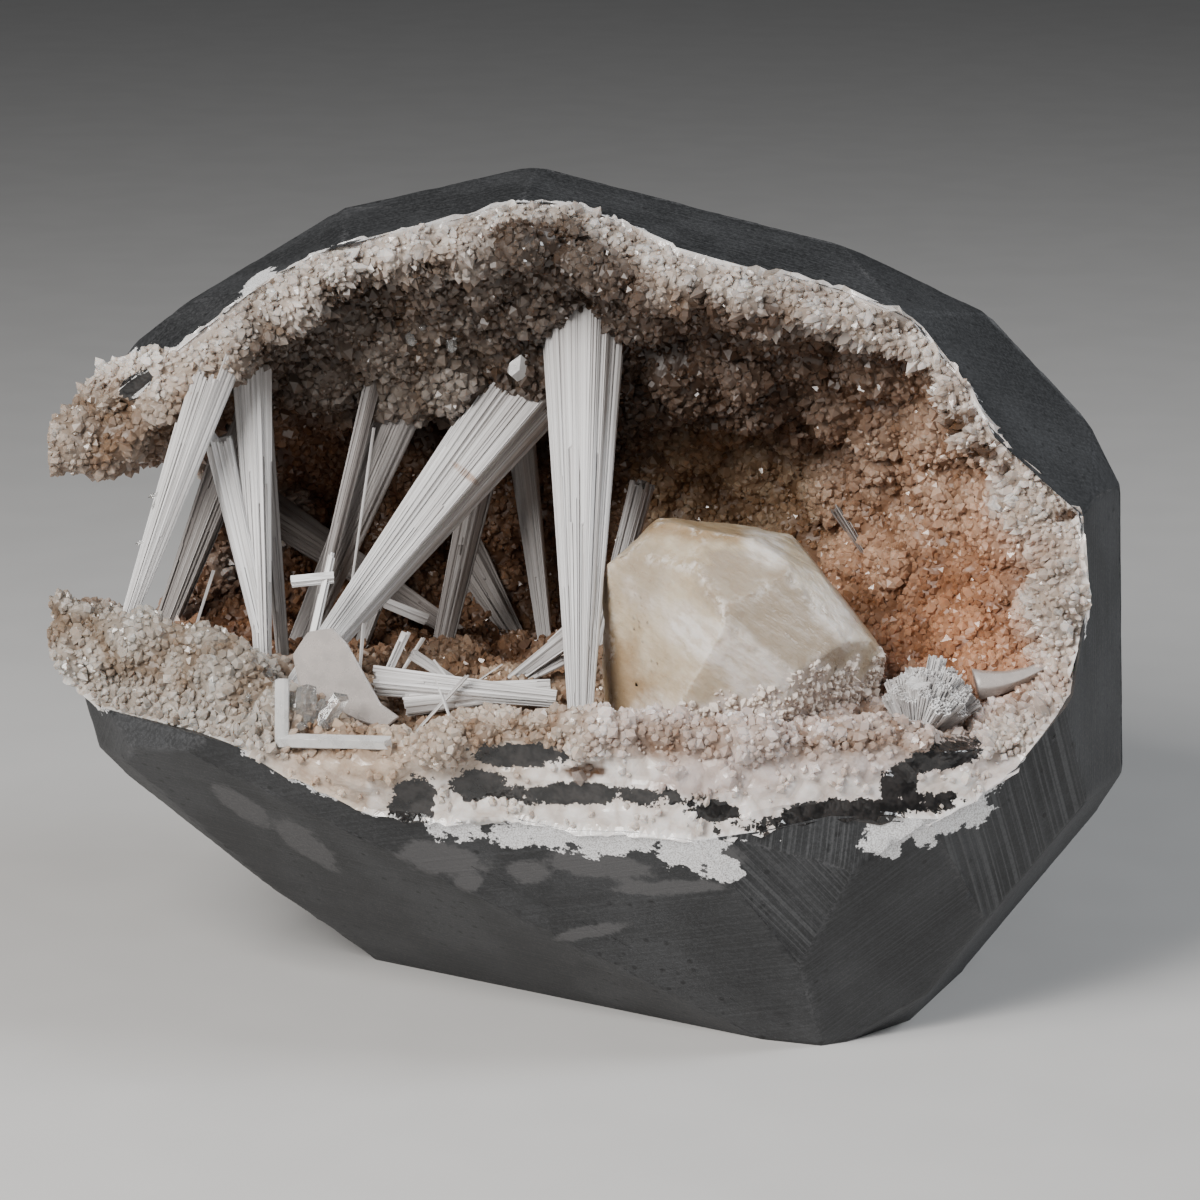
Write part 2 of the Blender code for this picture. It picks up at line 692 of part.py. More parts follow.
grow("needle_pillar", scolecite_look,
     ((-49, 17, -16), (-42.5, 18, 1.5), 2.6, 3.0, 8, 0.05, 24),
     ((-43.5, 18, 0.2), (-33.5, 19, -3.9), 1.8, 2.0, 8, 0.05, 25))
grow("front_rod", scolecite_look,
     ((-57.2, -43.5, -26.5), (-57.2, -43.5, -14.5), 2.8, 2.8, 10, 0.03, 26),
     ((-58.0, -43.5, -25.4), (-38, -46.5, -25.8), 2.8, 2.8, 10, 0.03, 27))
grow("fan_right_wall", scolecite_look, ((53, 20, 6.5), (45.6, 23.5, 17.5), 2.0, 5.6, 12, 0.08, 28))

# Calcite: one large crystal on the floor of the hollow
CALCITE_MIDDLE = (26.5, -27.5, -4.8)
CALCITE_FLATS = (
    (180, 12, 24.8), (176, 42, 19.5), (131, 8, 25.0), (128, 36, 22.0), (105, 20, 22.5),
    (82, 6, 17.5), (88, 48, 20.0), (60, 14, 17.4), (38, 4, 17.4), (34, 38, 20.0),
    (-18, 8, 26.0), (-40, 36, 21.5), (-92, 62, 21.5), (-130, 50, 25.0), (20, 66, 20.5),
    (140, -40, 21.0), (60, -44, 19.5), (0, -38, 24.0), (180, -36, 24.0), (-90, -20, 24.0),
)
CALCITE_BLANK = 90
calcite = keep_object(
    "calcite", grown_solid(CALCITE_FLATS, CALCITE_MIDDLE, CALCITE_BLANK), parts, calcite_look)
finish(calcite, calcite_look)

# Smooth blade in front of the main diagonal spray: its outline, then depth and thickness
BLADE_OUTLINE = (
    (-56.1, -10.0), (-53.3, -5.8), (-48.8, -5.1), (-46.2, -7.9), (-43.1, -13.5), (-40.0, -19.0),
    (-36.6, -21.4), (-39.4, -23.6), (-44.7, -21.9), (-50.2, -18.9), (-54.8, -16.4),
)
BLADE_DEPTH = -32.5
BLADE_THICKNESS = 2.8
blade = keep_object(
    "blade_crystal", plate("blade_outline", BLADE_OUTLINE, BLADE_DEPTH, BLADE_THICKNESS), parts, scolecite_look)
finish(blade, scolecite_look)

# Clear crystals: a cluster in front of the blade, one on the right of the floor, one hanging
cluster = clear_crystal("clear_cluster", (-53, -41, -22), UP_AXIS * 0.9 - IN_AXIS * 0.2, 11, 2.6, 31)
join(cluster, [
    crystal("cluster_arm", place(-50, -41, -22), UP_AXIS * 0.7 + X_AXIS * 0.5, 10 * MM, 2.2 * MM, 32),
    crystal("cluster_arm", place(-54.5, -40.5, -21), UP_AXIS * 0.8 - X_AXIS * 0.45, 9 * MM, 2.0 * MM, 33),
])
right_blade = clear_crystal("blade_right", (73, -33, -14), X_AXIS * 0.9 + UP_AXIS * 0.25, 15, 3.0, 34)
hanging = clear_crystal("prism_hanging", (-15.3, 0, 49), UP_AXIS * -1.0 - X_AXIS * 0.1, 11, 2.3, 35)
for grown in (cluster, right_blade, hanging):
    finish(grown, clear_look)

# Fibrous mound on the right of the calcite
MOUND_MIDDLE = (59.5, -38, -19)
MOUND_RADIUS = 9.2
MOUND_SWELL = 2.2
mound_mesh = bmesh.new()
bmesh.ops.create_icosphere(mound_mesh, subdivisions=2, radius=MOUND_RADIUS * MM)
for vert in mound_mesh.verts:
    out = vert.co.normalized()
    vert.co += out * MOUND_SWELL * MM * noise.noise(out * 2.3)
bmesh.ops.translate(mound_mesh, verts=mound_mesh.verts, vec=place(*MOUND_MIDDLE))
mound = keep_object("fibrous_mound", mound_mesh, parts, scolecite_look)
finish(mound, scolecite_look)

# Druse points fused to the crust, once every piece has its place
join(crust, wall_crystals(32, 41))
boolean(crust, envelope, "INTERSECT")
tidy(crust, druse_look)

for item in list(tools.objects):
    item.hide_render = True
    item.display_type = "WIRE"
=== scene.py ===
"""Looks of the scolecite geode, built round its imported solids.

Sizes are metres, +Z up, +X to the right of the mouth and -Y out of it. Places in the
hollow are given in the mouth frame, in mm: x to the right, depth into the rock, z up in
the plane of the mouth, which leans back by MOUTH_LEAN.
"""
import math
import random

import bmesh
import bpy
import numpy as np
from bpy.props import FloatProperty, FloatVectorProperty, PointerProperty
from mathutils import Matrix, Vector, noise
from mathutils.bvhtree import BVHTree
from mathutils.kdtree import KDTree


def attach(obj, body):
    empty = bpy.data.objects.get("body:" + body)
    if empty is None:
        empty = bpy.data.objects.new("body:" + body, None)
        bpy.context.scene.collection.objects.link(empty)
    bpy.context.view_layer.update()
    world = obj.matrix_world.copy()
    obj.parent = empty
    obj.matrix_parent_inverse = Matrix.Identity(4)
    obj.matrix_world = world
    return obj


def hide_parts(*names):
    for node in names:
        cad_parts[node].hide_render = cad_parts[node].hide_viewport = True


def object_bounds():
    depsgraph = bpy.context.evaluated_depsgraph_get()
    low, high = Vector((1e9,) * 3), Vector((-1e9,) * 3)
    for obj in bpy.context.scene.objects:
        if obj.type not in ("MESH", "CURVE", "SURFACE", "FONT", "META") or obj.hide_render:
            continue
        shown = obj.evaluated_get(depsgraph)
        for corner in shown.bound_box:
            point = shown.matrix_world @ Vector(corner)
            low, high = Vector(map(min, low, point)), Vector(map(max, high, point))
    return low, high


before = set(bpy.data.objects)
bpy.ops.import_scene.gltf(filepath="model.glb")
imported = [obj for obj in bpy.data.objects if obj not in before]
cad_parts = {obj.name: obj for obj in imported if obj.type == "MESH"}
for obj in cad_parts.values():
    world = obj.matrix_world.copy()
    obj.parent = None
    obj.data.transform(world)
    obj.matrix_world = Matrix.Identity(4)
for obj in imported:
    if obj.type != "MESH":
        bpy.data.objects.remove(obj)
CAD_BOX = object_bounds()

bl_info = {
    "name": "Scolecite Geode",
    "version": (1, 0, 0),
    "blender": (4, 5, 0),
    "location": "3D View > Sidebar > Geode",
    "description": "Basalt, druse, needle sprays and calcite of a scolecite geode",
    "category": "Add Mesh",
}

MM = 0.001
BODY = "root"

# The mouth frame
MOUTH = Vector((1.8, 0.2, 72.0))
MOUTH_LEAN = math.radians(14.0)
X_AXIS = Vector((1.0, 0.0, 0.0))
IN_AXIS = Vector((0.0, math.cos(MOUTH_LEAN), -math.sin(MOUTH_LEAN)))
UP_AXIS = Vector((0.0, math.sin(MOUTH_LEAN), math.cos(MOUTH_LEAN)))

# Camera and stage
VIEW_DISTANCE = 0.850
VIEW_LENS = 134.2
SENSOR = 36.0

# Meshing
MERGE = 0.00001
BOX_MARGIN = 0.00001
SEAT_GAP = 0.0016
BED_EDGE = 0.0013
STONE_EDGE = 0.0024
STRIATED_EDGE = 0.0009
CALCITE_EDGE = 0.0011
BLADE_EDGE = 0.002

# Basalt: how far from its hull a flat may lie and be outside, how high its base is left alone, how deep
# marks are cut in the mesh, and the angle that makes an edge
FLAT_TOLERANCE = 0.1 * MM
BASE_BAND = 0.05 * MM
CUT_MARKS = 0.1
WORN_ANGLE = math.radians(6.0)
SAME_FLAT = 0.9995

# Crust: how wide its rim is in mm, how flats of its ceiling and floor tilt, its lumps by size and shift
# in mm, and how much of the space between lumps is a gap
RIM_REACH = 8.0
CEILING_TILT = -0.3
FLOOR_TILT = 0.45
LUMPS = ((12.5, (3.1, 7.2, 0.4)), (4.6, (0.3, 2.2, 5.4)), (2.0, (9.0, 2.0, 4.0)))
GAP_WIDTH = 0.34

# Sawn flats with marks of their own: azimuth, elevation, way of the marks in the plane
# of the mouth in degrees, spacing and depth of the marks in mm, and how pale they are
SAW_MARKS = (
    ("striated left", -82, -15, -52, 0.95, 0.16, 0.8),
    ("striated right", -57, -15, -58, 1.4, 0.22, 0.9),
    ("fine band", -66, -21, 38, 0.6, 0.03, 0.35),
    ("bottom strip", -46, -45, 24, 0.6, 0.08, 0.6),
    ("rim band", -78, -4, 88, 0.7, 0.03, 1.0),
    ("top left", -148, 77, 14, 0.8, 0.05, 0.3),
    ("top right", -38, 74, -24, 0.8, 0.05, 0.35),
    ("right middle", -16, 32, -48, 0.8, 0.05, 0.5),
    ("right sawn end", -19, 5, 80, 0.9, 0.05, 0.35),
)
PLAIN_MARKS = (30, 0.8, 0.04, 0.2)

# Bare basalt inside the crust: x, z, half width, half height, turn
ISLANDS = (
    (-14.2, -27.6, 8.6, 2.5, -0.05),
    (-2.0, -34.6, 17.0, 2.0, 0.0),
    (-33.6, -36.0, 3.6, 6.0, -0.5),
    (-22.5, -32.8, 5.0, 2.6, 0.1),
    (44.0, -37.6, 19.0, 2.5, 0.12),
    (52.5, -33.0, 4.2, 3.2, 0.4),
    (62.0, -27.8, 6.5, 2.6, 0.25),
    (21.0, -37.4, 5.0, 1.6, 0.0),
    (-87.0, 39.6, 3.0, 2.2, 0.6),
    (-84.6, 41.0, 2.2, 1.6, 0.6),
)
# Brown hollows and holes in the crust
BROWN_SPOTS = (
    (-2.7, -30.3, 4.0, 1.3, 0.0),
    (66.5, 32.5, 2.6, 1.6, 0.4),
    (70.0, 27.4, 2.4, 1.6, -0.5),
    (84.9, 15.5, 2.0, 1.4, 0.0),
    (22.5, 23.9, 4.2, 1.8, 0.3),
)
# White and pink tufts on the right of the rim
WHITE_TUFTS = (
    (80.7, 18.3, 8.0, 4.2, -0.15),
    (84.0, 0.0, 4.0, 7.5, 0.0),
    (87.0, -10.4, 4.0, 6.2, 0.0),
    (60.0, 47.0, 4.0, 5.0, 0.4),
    (-26.2, -36.4, 6.5, 4.4, 0.3),
    (-0.9, -30.3, 12.0, 3.6, 0.0),
    (0.4, -40.0, 15.5, 3.4, 0.0),
    (15.5, -39.5, 6.5, 5.5, 0.0),
    (60.0, -35.5, 8.0, 5.0, 0.25),
)

# Pale patches on the sawn face below the mouth: x, z, half width, half height, turn
WHITE_PATCHES = (
    (-26, -38.5, 6.0, 4.6, 0.4),
    (-10, -41.5, 9.0, 3.0, 0.05),
    (3, -42.0, 10.0, 3.6, 0.1),
    (16, -43.0, 6.5, 5.2, -0.3),
    (22, -47.5, 3.4, 2.4, -0.3),
    (60, -37.5, 10.5, 5.6, 0.25),
    (51, -43.0, 4.5, 2.8, 0.1),
    (-63.0, 59.5, 4.0, 1.8, 0.6),
)
GREY_PATCHES = (
    (-54.5, -45.0, 7.0, 2.6, -0.75),
    (-29, -47.0, 8.5, 3.2, -0.2),
    (-13, -49.0, 3.8, 2.2, 0.0),
    (-24, -51.0, 2.6, 1.8, 0.0),
    (0, -47.5, 9.0, 2.4, -0.1),
    (-2, -60.5, 7.0, 1.2, 0.25),
    (12, -51.5, 10.0, 1.2, 0.06),
    (20, -46.0, 6.0, 3.0, 0.0),
    (-66, -38, 6.0, 2.2, -0.6),
)

# Colours of the lining by place: x, depth, z, reach in mm, and the colour. The ceiling tints, the one under
# the upper left lip, the left back and the deep middle are the crust's own brown grey drawn darker as painted
# shade of the hollow.
LINING_TINTS = (
    # Painted shade: the ceiling tints are the crust's brown grey made darker for the shade under the roof
    ("ceiling front", (-35, -8, 50), 24, (0.13, 0.105, 0.088)),
    ("ceiling back", (-10, 14, 40), 26, (0.085, 0.062, 0.048)),
    ("hanging lump", (-33, 0, 46), 12, (0.42, 0.385, 0.35)),
    ("ceiling right", (35, 6, 42), 26, (0.14, 0.10, 0.078)),
    ("upper left lip", (-88, -14, 34), 16, (0.44, 0.38, 0.33)),
    # Painted shade: under the upper left lip, at the left back and in the deep middle, the crust's own brown
    # is made darker for the shade deep in the hollow
    ("under the upper left lip", (-86, -6, 22), 14, (0.26, 0.17, 0.12)),
    ("left back", (-72, 22, 4), 26, (0.28, 0.155, 0.09)),
    ("deep middle", (-20, 34, 4), 24, (0.22, 0.13, 0.08)),
    ("tan lumps", (26, 32, 20), 16, (0.58, 0.44, 0.305)),
    ("right wall", (60, 10, 22), 24, (0.56, 0.395, 0.295)),
    ("orange corner", (72, 2, -6), 20, (0.66, 0.36, 0.215)),
    ("orange wall", (56, 20, -2), 18, (0.58, 0.355, 0.23)),
    ("right rim", (80, -24, 8), 11, (0.72, 0.59, 0.52)),
    ("floor middle", (-20, -10, -22), 24, (0.46, 0.35, 0.265)),
    ("floor front", (-20, -44, -30), 18, (0.62, 0.545, 0.48)),
    ("calcite foot", (30, -44, -28), 26, (0.72, 0.635, 0.61)),
    ("lower left lip", (-80, -24, -12), 18, (0.50, 0.485, 0.46)),
    ("bottom tip", (-42, -46, -34), 10, (0.56, 0.44, 0.34)),
)

# Sprays: node, how white its needles are (low for needles deep in the hollow: partly their own grey, partly
# painted shade), then for each bundle root, end, root width, end width, needles, seed
SPRAYS = (
    ("spray_left_front", 0.90, (((-89, -21, -8), (-71.5, -21, 42), 2.4, 8.6, 70, 1),)),
    ("spray_left_back", 0.12, (((-86, 8, -12), (-67, 9, 38), 3.8, 9.0, 50, 2),)),
    ("spray_left_split", 0.95, (
        ((-63, -10, -18), (-66, -9, 52), 3.2, 8.4, 70, 3),
        ((-63.5, -10, -6), (-71.5, -11, 30.5), 3.4, 5.6, 40, 4))),
    ("spray_left_strip", 0.22, (((-59.5, -1, -18), (-65, -1, 48), 2.4, 4.2, 46, 5),)),
    ("spray_long_back", 0.26, (((-60, 12, -14), (-36, 12, 42), 4.6, 9.0, 60, 6),)),
    ("spray_thin_pair", 0.15, (((-57, 4, -14), (-43, 5, 44), 1.6, 3.2, 40, 7),)),
    ("spray_main_diagonal", 1.0, (((-57, -18, -16), (-12, 14, 44), 3.8, 18.0, 150, 8),)),
    ("spray_middle_slim", 0.5, (((-10, 25, -14), (-17, 25, 44), 2.6, 6.6, 40, 9),)),
    ("spray_middle_back", 0.12, (((-32, 17, -16), (-22.5, 22, 27), 3.6, 6.6, 40, 10),)),
    ("spray_deep_right", 0.06, (((-13, 29, -14), (-27, 46, 8), 3.0, 9.6, 40, 11),)),
    ("spray_deep_left", 0.0, (((-24, 26, -9), (-74, 35, 23), 3.0, 10.0, 40, 12),)),
    ("spray_front_upright", 0.86, (((-3.6, -48, -32), (-3.2, 4, 60), 2.8, 17.6, 120, 13),)),
    ("spray_behind_calcite", 0.55, (((-2.5, 13, -18), (8.4, 8, 23.0), 3.0, 5.0, 30, 14),)),
    ("spray_lying", 0.95, (
        ((-8, -29, -18), (-42, -27, -14.5), 3.2, 5.6, 50, 15),
        ((-9, -28, -16), (-36, -26, -18.6), 3.0, 6.0, 50, 16))),
    ("splinters", 0.75, (
        ((-17, -15, -22), (-35.5, -17, -10.0), 1.6, 2.6, 30, 17),
        ((-17.5, -15, -22), (-34.5, -13, -13.0), 1.6, 2.4, 26, 18))),
    ("shards_right", 0.60, (
        ((-23, -9, -20), (-5, -8, -6.5), 2.0, 4.2, 50, 19),
        ((-22.5, -9, -20), (-6, -7, -12), 2.0, 4.0, 50, 20))),
    ("needle_leaning", 0.8, (((-43.5, -19, -22), (-36, -19, -5.6), 1.2, 1.6, 5, 21),)),
    ("needle_upright", 1.0, (
        ((-55, -26, -16), (-49.5, -24, 9.0), 1.6, 1.3, 7, 22),
        ((-57, -25.5, 3.6), (-49.2, -24.3, 4.4), 1.7, 1.7, 5, 23))),
    ("needle_pillar", 0.5, (
        ((-49, 17, -16), (-42.5, 18, 1.5), 2.6, 3.0, 22, 24),
        ((-43.5, 18, 0.2), (-33.5, 19, -3.9), 1.8, 2.0, 14, 25))),
    ("fan_right_wall", 0.0, (((53.4, 20.6, 6.0), (46.0, 24.4, 18.4), 1.0, 3.2, 9, 28),)),
)
# Fans whose needles are as thin as a lath
FINE_FANS = ("fan_right_wall",)

# Thin loose needles on the floor and by the roots: root, end, width, seed
LOOSE_NEEDLES = (
    ((-26.2, -40.2, -24.2), (-30.0, -36, -14.0), 0.5, 61),
    ((-33.6, -29.2, -24.0), (-24.0, -32, -13.5), 0.6, 62),
    ((-24.0, -26, -20.0), (-31.0, -22, -11.0), 0.5, 63),
    ((-40.0, -12, -18.0), (-33.0, -10, -7.0), 0.6, 64),
    ((-45.2, -17.6, -18.4), (-44.0, -18, -4.0), 0.5, 65),
    ((-30.0, -6, -20.0), (-18.0, -8, -12.0), 0.6, 66),
    ((-20.0, -24, -20.0), (-9.0, -22, -15.5), 0.6, 67),
    ((-80.0, 4, -14.0), (-74.0, 8, 6.0), 0.5, 68),
    ((-50.0, 6, -14.0), (-43.0, 4, 34.0), 0.45, 69),
)

# Bundles at least this wide, in mm, have a fluted body: its columns per mm of width and its rows
THICK_BUNDLE = 5.0
CORE_COLUMNS = 13
CORE_ROWS = 16
# Where the laths on a thick bundle start, as a share of its radius
LATHS_FROM = 0.93
# How far needles go into the crust, how far from their middle they look for it as a share of their
# length, how flat a bundle's slabs are, and how deep a lath that starts late is sunk before that
SUNK = 0.0006
RAY_REACH = 0.62
FLATNESS = 0.85
LATE_SINK = 0.045
# Turn from one needle or tuft to the next, which fills a circle evenly
GOLDEN_TURN = 2.399963

# The mound's foot, its middle and its reach in mm, and how many tufts it has
MOUND_FOOT = (57.0, -33.0, -29.0)
MOUND_MIDDLE = (59.5, -38.0, -19.0)
MOUND_REACH = 9.0
MOUND_TUFTS = 30

# Rust mark across the main spray
RUST_MARK = (-25.5, 0.0, 24.0)

# Height under which the calcite is frosted with small crystals, and how that rises to the right
FROST_LINE = -18.0
FROST_RISE = 0.24
FROST_GROWTHS = ((0.7, 0.9, 1.1, 0.7), (1.6, 1.5, 0.9, 0.7))

# Slant of the calcite's bands and cleavage in the plane of the mouth
CALCITE_SLANT = -0.62

# Small double ended crystals: middle, way they point, length and width in mm
SMALL_CRYSTALS = (
    ((-82.2, -21.9, 19.5), (0.9, 0.0, 0.3), 3.2, 0.9),
    ((-82.2, -22.0, 17.8), (0.5, 0.0, 0.9), 2.6, 1.0),
    ((-84.9, -21.6, 10.6), (1.0, 0.0, 0.2), 2.4, 0.7),
    ((-74.0, -25.0, -6.6), (0.8, -0.3, 0.5), 3.6, 1.8),
    ((-78.0, -25.5, -8.2), (-0.6, -0.4, 0.7), 3.0, 1.6),
    ((-71.0, -22.9, -8.4), (0.3, -0.5, 0.8), 3.2, 1.7),
    ((-84.0, -22.0, -3.6), (0.6, -0.4, 0.6), 2.8, 1.4),
    ((-87.5, -21.0, -2.6), (-0.5, -0.4, 0.7), 2.6, 1.3),
    ((-35.5, -9.0, 49.0), (0.3, -0.6, -0.8), 3.4, 2.0),
    ((-33.0, -9.0, 51.5), (-0.7, -0.6, -0.3), 3.0, 1.7),
    ((-28.0, -6.6, 48.2), (0.1, -0.4, -0.9), 3.8, 2.1),
    ((-64.0, -36.0, -18.0), (0.4, -0.7, 0.6), 2.6, 1.4),
    ((-60.9, -38.6, -21.7), (-0.4, -0.8, 0.5), 2.8, 1.5),
    ((-57.0, -39.0, -19.0), (0.7, -0.5, 0.5), 2.4, 1.3),
    ((-55.0, -41.5, -19.5), (0.2, -0.7, 0.7), 3.0, 1.9),
    ((-52.5, -42.5, -21.5), (-0.5, -0.8, 0.3), 2.8, 1.8),
    ((-50.5, -42.0, -19.0), (0.6, -0.4, 0.6), 3.2, 1.7),
    ((-54.0, -43.0, -23.0), (0.1, -0.9, 0.4), 2.6, 1.9),
    ((-49.8, -42.5, -22.5), (-0.3, -0.5, 0.8), 2.8, 1.6),
    ((-52.0, -41.5, -17.5), (0.3, -0.3, 0.9), 3.0, 1.6),
)


def place(x, depth, z):
    """A point of the mouth frame, in mm, as a point of the part in metres."""
    return (MOUTH + X_AXIS * x + IN_AXIS * depth + UP_AXIS * z) * MM


def mouth_frame(points):
    """Points of the part, an array in metres, in the mouth frame in mm."""
    off = points / MM - np.array(MOUTH)
    return np.stack([off @ np.array(X_AXIS), off @ np.array(IN_AXIS), off @ np.array(UP_AXIS)], axis=1)


def direction(azimuth, elevation):
    a = math.radians(azimuth)
    e = math.radians(elevation)
    return Vector((math.cos(e) * math.cos(a), math.cos(e) * math.sin(a), math.sin(e)))


def smooth(value):
    """A soft step from 0 to 1."""
    value = np.clip(value, 0.0, 1.0)
    return value * value * (3.0 - 2.0 * value)


# Meshes

def merged_copy(node):
    """A CAD node's mesh as one closed bmesh, with its loose triangles joined."""
    bm = bmesh.new()
    bm.from_mesh(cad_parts[node].data)
    bmesh.ops.remove_doubles(bm, verts=bm.verts, dist=MERGE)
    bm.normal_update()
    return bm


def refine(bm, longest):
    """Split edges until none is longer than its faces allow; longest gives that per face, or None."""
    for _round in range(9):
        long_edges = []
        for edge in bm.edges:
            limits = [longest(face) for face in edge.link_faces]
            limits = [limit for limit in limits if limit is not None]
            if limits and edge.calc_length() > min(limits):
                long_edges.append(edge)
        if not long_edges:
            return
        bmesh.ops.subdivide_edges(bm, edges=long_edges, cuts=1)
        bmesh.ops.triangulate(bm, faces=[face for face in bm.faces if len(face.verts) > 3])


def keep(name, mesh, look, nodes=()):
    """A finished piece, kept inside the CAD box: riding on the body, standing for CAD nodes."""
    inside = np.clip(points_of(mesh), np.array(CAD_BOX[0]) + BOX_MARGIN, np.array(CAD_BOX[1]) - BOX_MARGIN)
    mesh.vertices.foreach_set("co", inside.astype(np.float32).ravel())
    mesh.update()
    made = bpy.data.objects.new(name, mesh)
    bpy.context.scene.collection.objects.link(made)
    mesh.materials.clear()
    mesh.materials.append(look)
    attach(made, BODY)
    if nodes:
        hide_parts(*nodes)
    return made


def mesh_of(name, bm):
    mesh = bpy.data.meshes.new(name)
    bm.to_mesh(mesh)
    bm.free()
    return mesh


def store(mesh, domain, kind, **layers):
    """Write attributes by name: kind FLOAT, INT, FLOAT_VECTOR or FLOAT_COLOR."""
    field = {"FLOAT_VECTOR": "vector", "FLOAT_COLOR": "color"}.get(kind, "value")
    for name, values in layers.items():
        flat = np.asarray(values, dtype=np.int32 if kind == "INT" else np.float32).ravel()
        mesh.attributes.new(name, kind, domain).data.foreach_set(field, flat)


def nearest_of(verts):
    """A tree that finds the nearest of some vertices."""
    tree = KDTree(len(verts))
    for i, vert in enumerate(verts):
        tree.insert(vert.co, i)
    tree.balance()
    return tree


def solid_tree(node):
    """A tree for rays against a CAD node."""
    bm = merged_copy(node)
    tree = BVHTree.FromBMesh(bm)
    bm.free()
    return tree


def with_whole_flats(node):
    """A CAD node's closed mesh with the triangles of each flat joined."""
    bm = merged_copy(node)
    bmesh.ops.dissolve_limit(bm, angle_limit=math.radians(1.0), verts=bm.verts, edges=bm.edges)
    return bm


def points_of(mesh):
    points = np.empty(len(mesh.vertices) * 3, dtype=np.float32)
    mesh.vertices.foreach_get("co", points)
    return points.reshape(-1, 3).astype(float)


# Node trees

class Wiring:
    """Adds nodes to a tree with their inputs, given by name or number, as values or sockets."""

    def __init__(self, tree):
        self.tree = tree

    def add(self, kind, inputs=None, output=0, **settings):
        made = self.tree.nodes.new(kind)
        for key, value in settings.items():
            setattr(made, key, value)
        for key, value in (inputs or {}).items():
            if isinstance(value, bpy.types.NodeSocket):
                self.tree.links.new(value, made.inputs[key])
            else:
                made.inputs[key].default_value = value
        count = len(self.tree.nodes)
        made.location = (count % 10 * 190, count // 10 * -280)
        return made.outputs[output] if made.outputs else None

    def math(self, operation, a, b=0.0):
        return self.add("ShaderNodeMath", {0: a, 1: b}, operation=operation)

    def times(self, a, b):
        return self.math("MULTIPLY", a, b)

    def plus(self, a, b):
        return self.math("ADD", a, b)

    def minus(self, a, b):
        return self.math("SUBTRACT", a, b)

    def over(self, a, b):
        return self.math("DIVIDE", a, b)

    def vector(self, operation, a, b=(0, 0, 0), output=0):
        return self.add("ShaderNodeVectorMath", {0: a, 1: b}, output, operation=operation)

    def scaled(self, a, factor):
        return self.add("ShaderNodeVectorMath", {0: a, "Scale": factor}, operation="SCALE")

    def length(self, a):
        return self.vector("LENGTH", a, output="Value")

    def join(self, x, y, z):
        return self.add("ShaderNodeCombineXYZ", {0: x, 1: y, 2: z})

    def height_of(self, point):
        return self.add("ShaderNodeSeparateXYZ", {0: point}, "Z")

    def turned(self, point, angle):
        """A point turned about Y."""
        return self.add("ShaderNodeVectorRotate", {"Vector": point, "Angle": angle}, rotation_type="Y_AXIS")

    def blend(self, factor, a, b, blend_type="MIX"):
        """Mix two colours, each a socket or three numbers."""
        a, b = [item if isinstance(item, bpy.types.NodeSocket) else rgba(item) for item in (a, b)]
        return self.add("ShaderNodeMix", {0: factor, 6: a, 7: b}, 2, data_type="RGBA", blend_type=blend_type)

    def shaded(self, colour, share):
        """A colour multiplied by another."""
        return self.blend(1.0, colour, share, "MULTIPLY")

    def chance(self, low, high, seed, **inputs):
        """A random number for each point."""
        inputs = {2: low, 3: high, "Seed": seed, **inputs}
        return self.add("FunctionNodeRandomValue", inputs, 1, data_type="FLOAT")

    def chance_vector(self, low, high, seed):
        return self.add("FunctionNodeRandomValue", {0: low, 1: high, "Seed": seed}, data_type="FLOAT_VECTOR")

    def named(self, name, data_type="FLOAT"):
        """An attribute of the mesh, in a geometry tree."""
        return self.add("GeometryNodeInputNamedAttribute", {"Name": name}, data_type=data_type)

    def stored(self, geometry, name, value, data_type="FLOAT", domain="INSTANCE"):
        inputs = {"Geometry": geometry, "Name": name, "Value": value}
        return self.add("GeometryNodeStoreNamedAttribute", inputs, data_type=data_type, domain=domain)

    def finished(self, geometry, look):
        """The end of a geometry tree: instances made real, with their material."""
        real = self.add("GeometryNodeRealizeInstances", {"Geometry": geometry})
        return self.add("GeometryNodeSetMaterial", {"Geometry": real, "Material": look})

    def span(self, value, low, high, to_low=0.0, to_high=1.0, kind="SMOOTHSTEP"):
        inputs = {"Value": value, "From Min": low, "From Max": high, "To Min": to_low, "To Max": to_high}
        return self.add("ShaderNodeMapRange", inputs, interpolation_type=kind)

    def noise(self, vector, scale, detail=3.0, roughness=0.55):
        inputs = {"Vector": vector, "Scale": scale, "Detail": detail, "Roughness": roughness}
        return self.add("ShaderNodeTexNoise", inputs)

    def read(self, name, output="Fac"):
        return self.add("ShaderNodeAttribute", output=output, attribute_name=name)

    def group(self, tree, inputs, output=0):
        return self.add("ShaderNodeGroup", inputs, output=output, node_tree=tree)


def rgba(colour):
    return (*colour, 1.0)


def new_group(name, kind, inputs, outputs):
    """An empty group with its sockets: (label, socket type, default). Returns tree, wiring, in, out."""
    tree = bpy.data.node_groups.new(name, kind)
    for label, socket_type, default in inputs:
        socket = tree.interface.new_socket(label, in_out="INPUT", socket_type=socket_type)
        if default is not None:
            socket.default_value = default
    for label, socket_type in outputs:
        tree.interface.new_socket(label, in_out="OUTPUT", socket_type=socket_type)
    entry = tree.nodes.new("NodeGroupInput").outputs
    leave = tree.nodes.new("NodeGroupOutput").inputs
    return tree, Wiring(tree), entry, leave


FLOAT = "NodeSocketFloat"
VECTOR = "NodeSocketVector"
INTEGER = "NodeSocketInt"
GEOMETRY = "NodeSocketGeometry"
MATERIAL = "NodeSocketMaterial"
OBJECT = "NodeSocketObject"
SHADER_TREE = "ShaderNodeTree"
GEOMETRY_TREE = "GeometryNodeTree"


def group_once(name, build):
    """A shared group, built the first time that it is asked for."""
    return bpy.data.node_groups.get(name) or build(name)


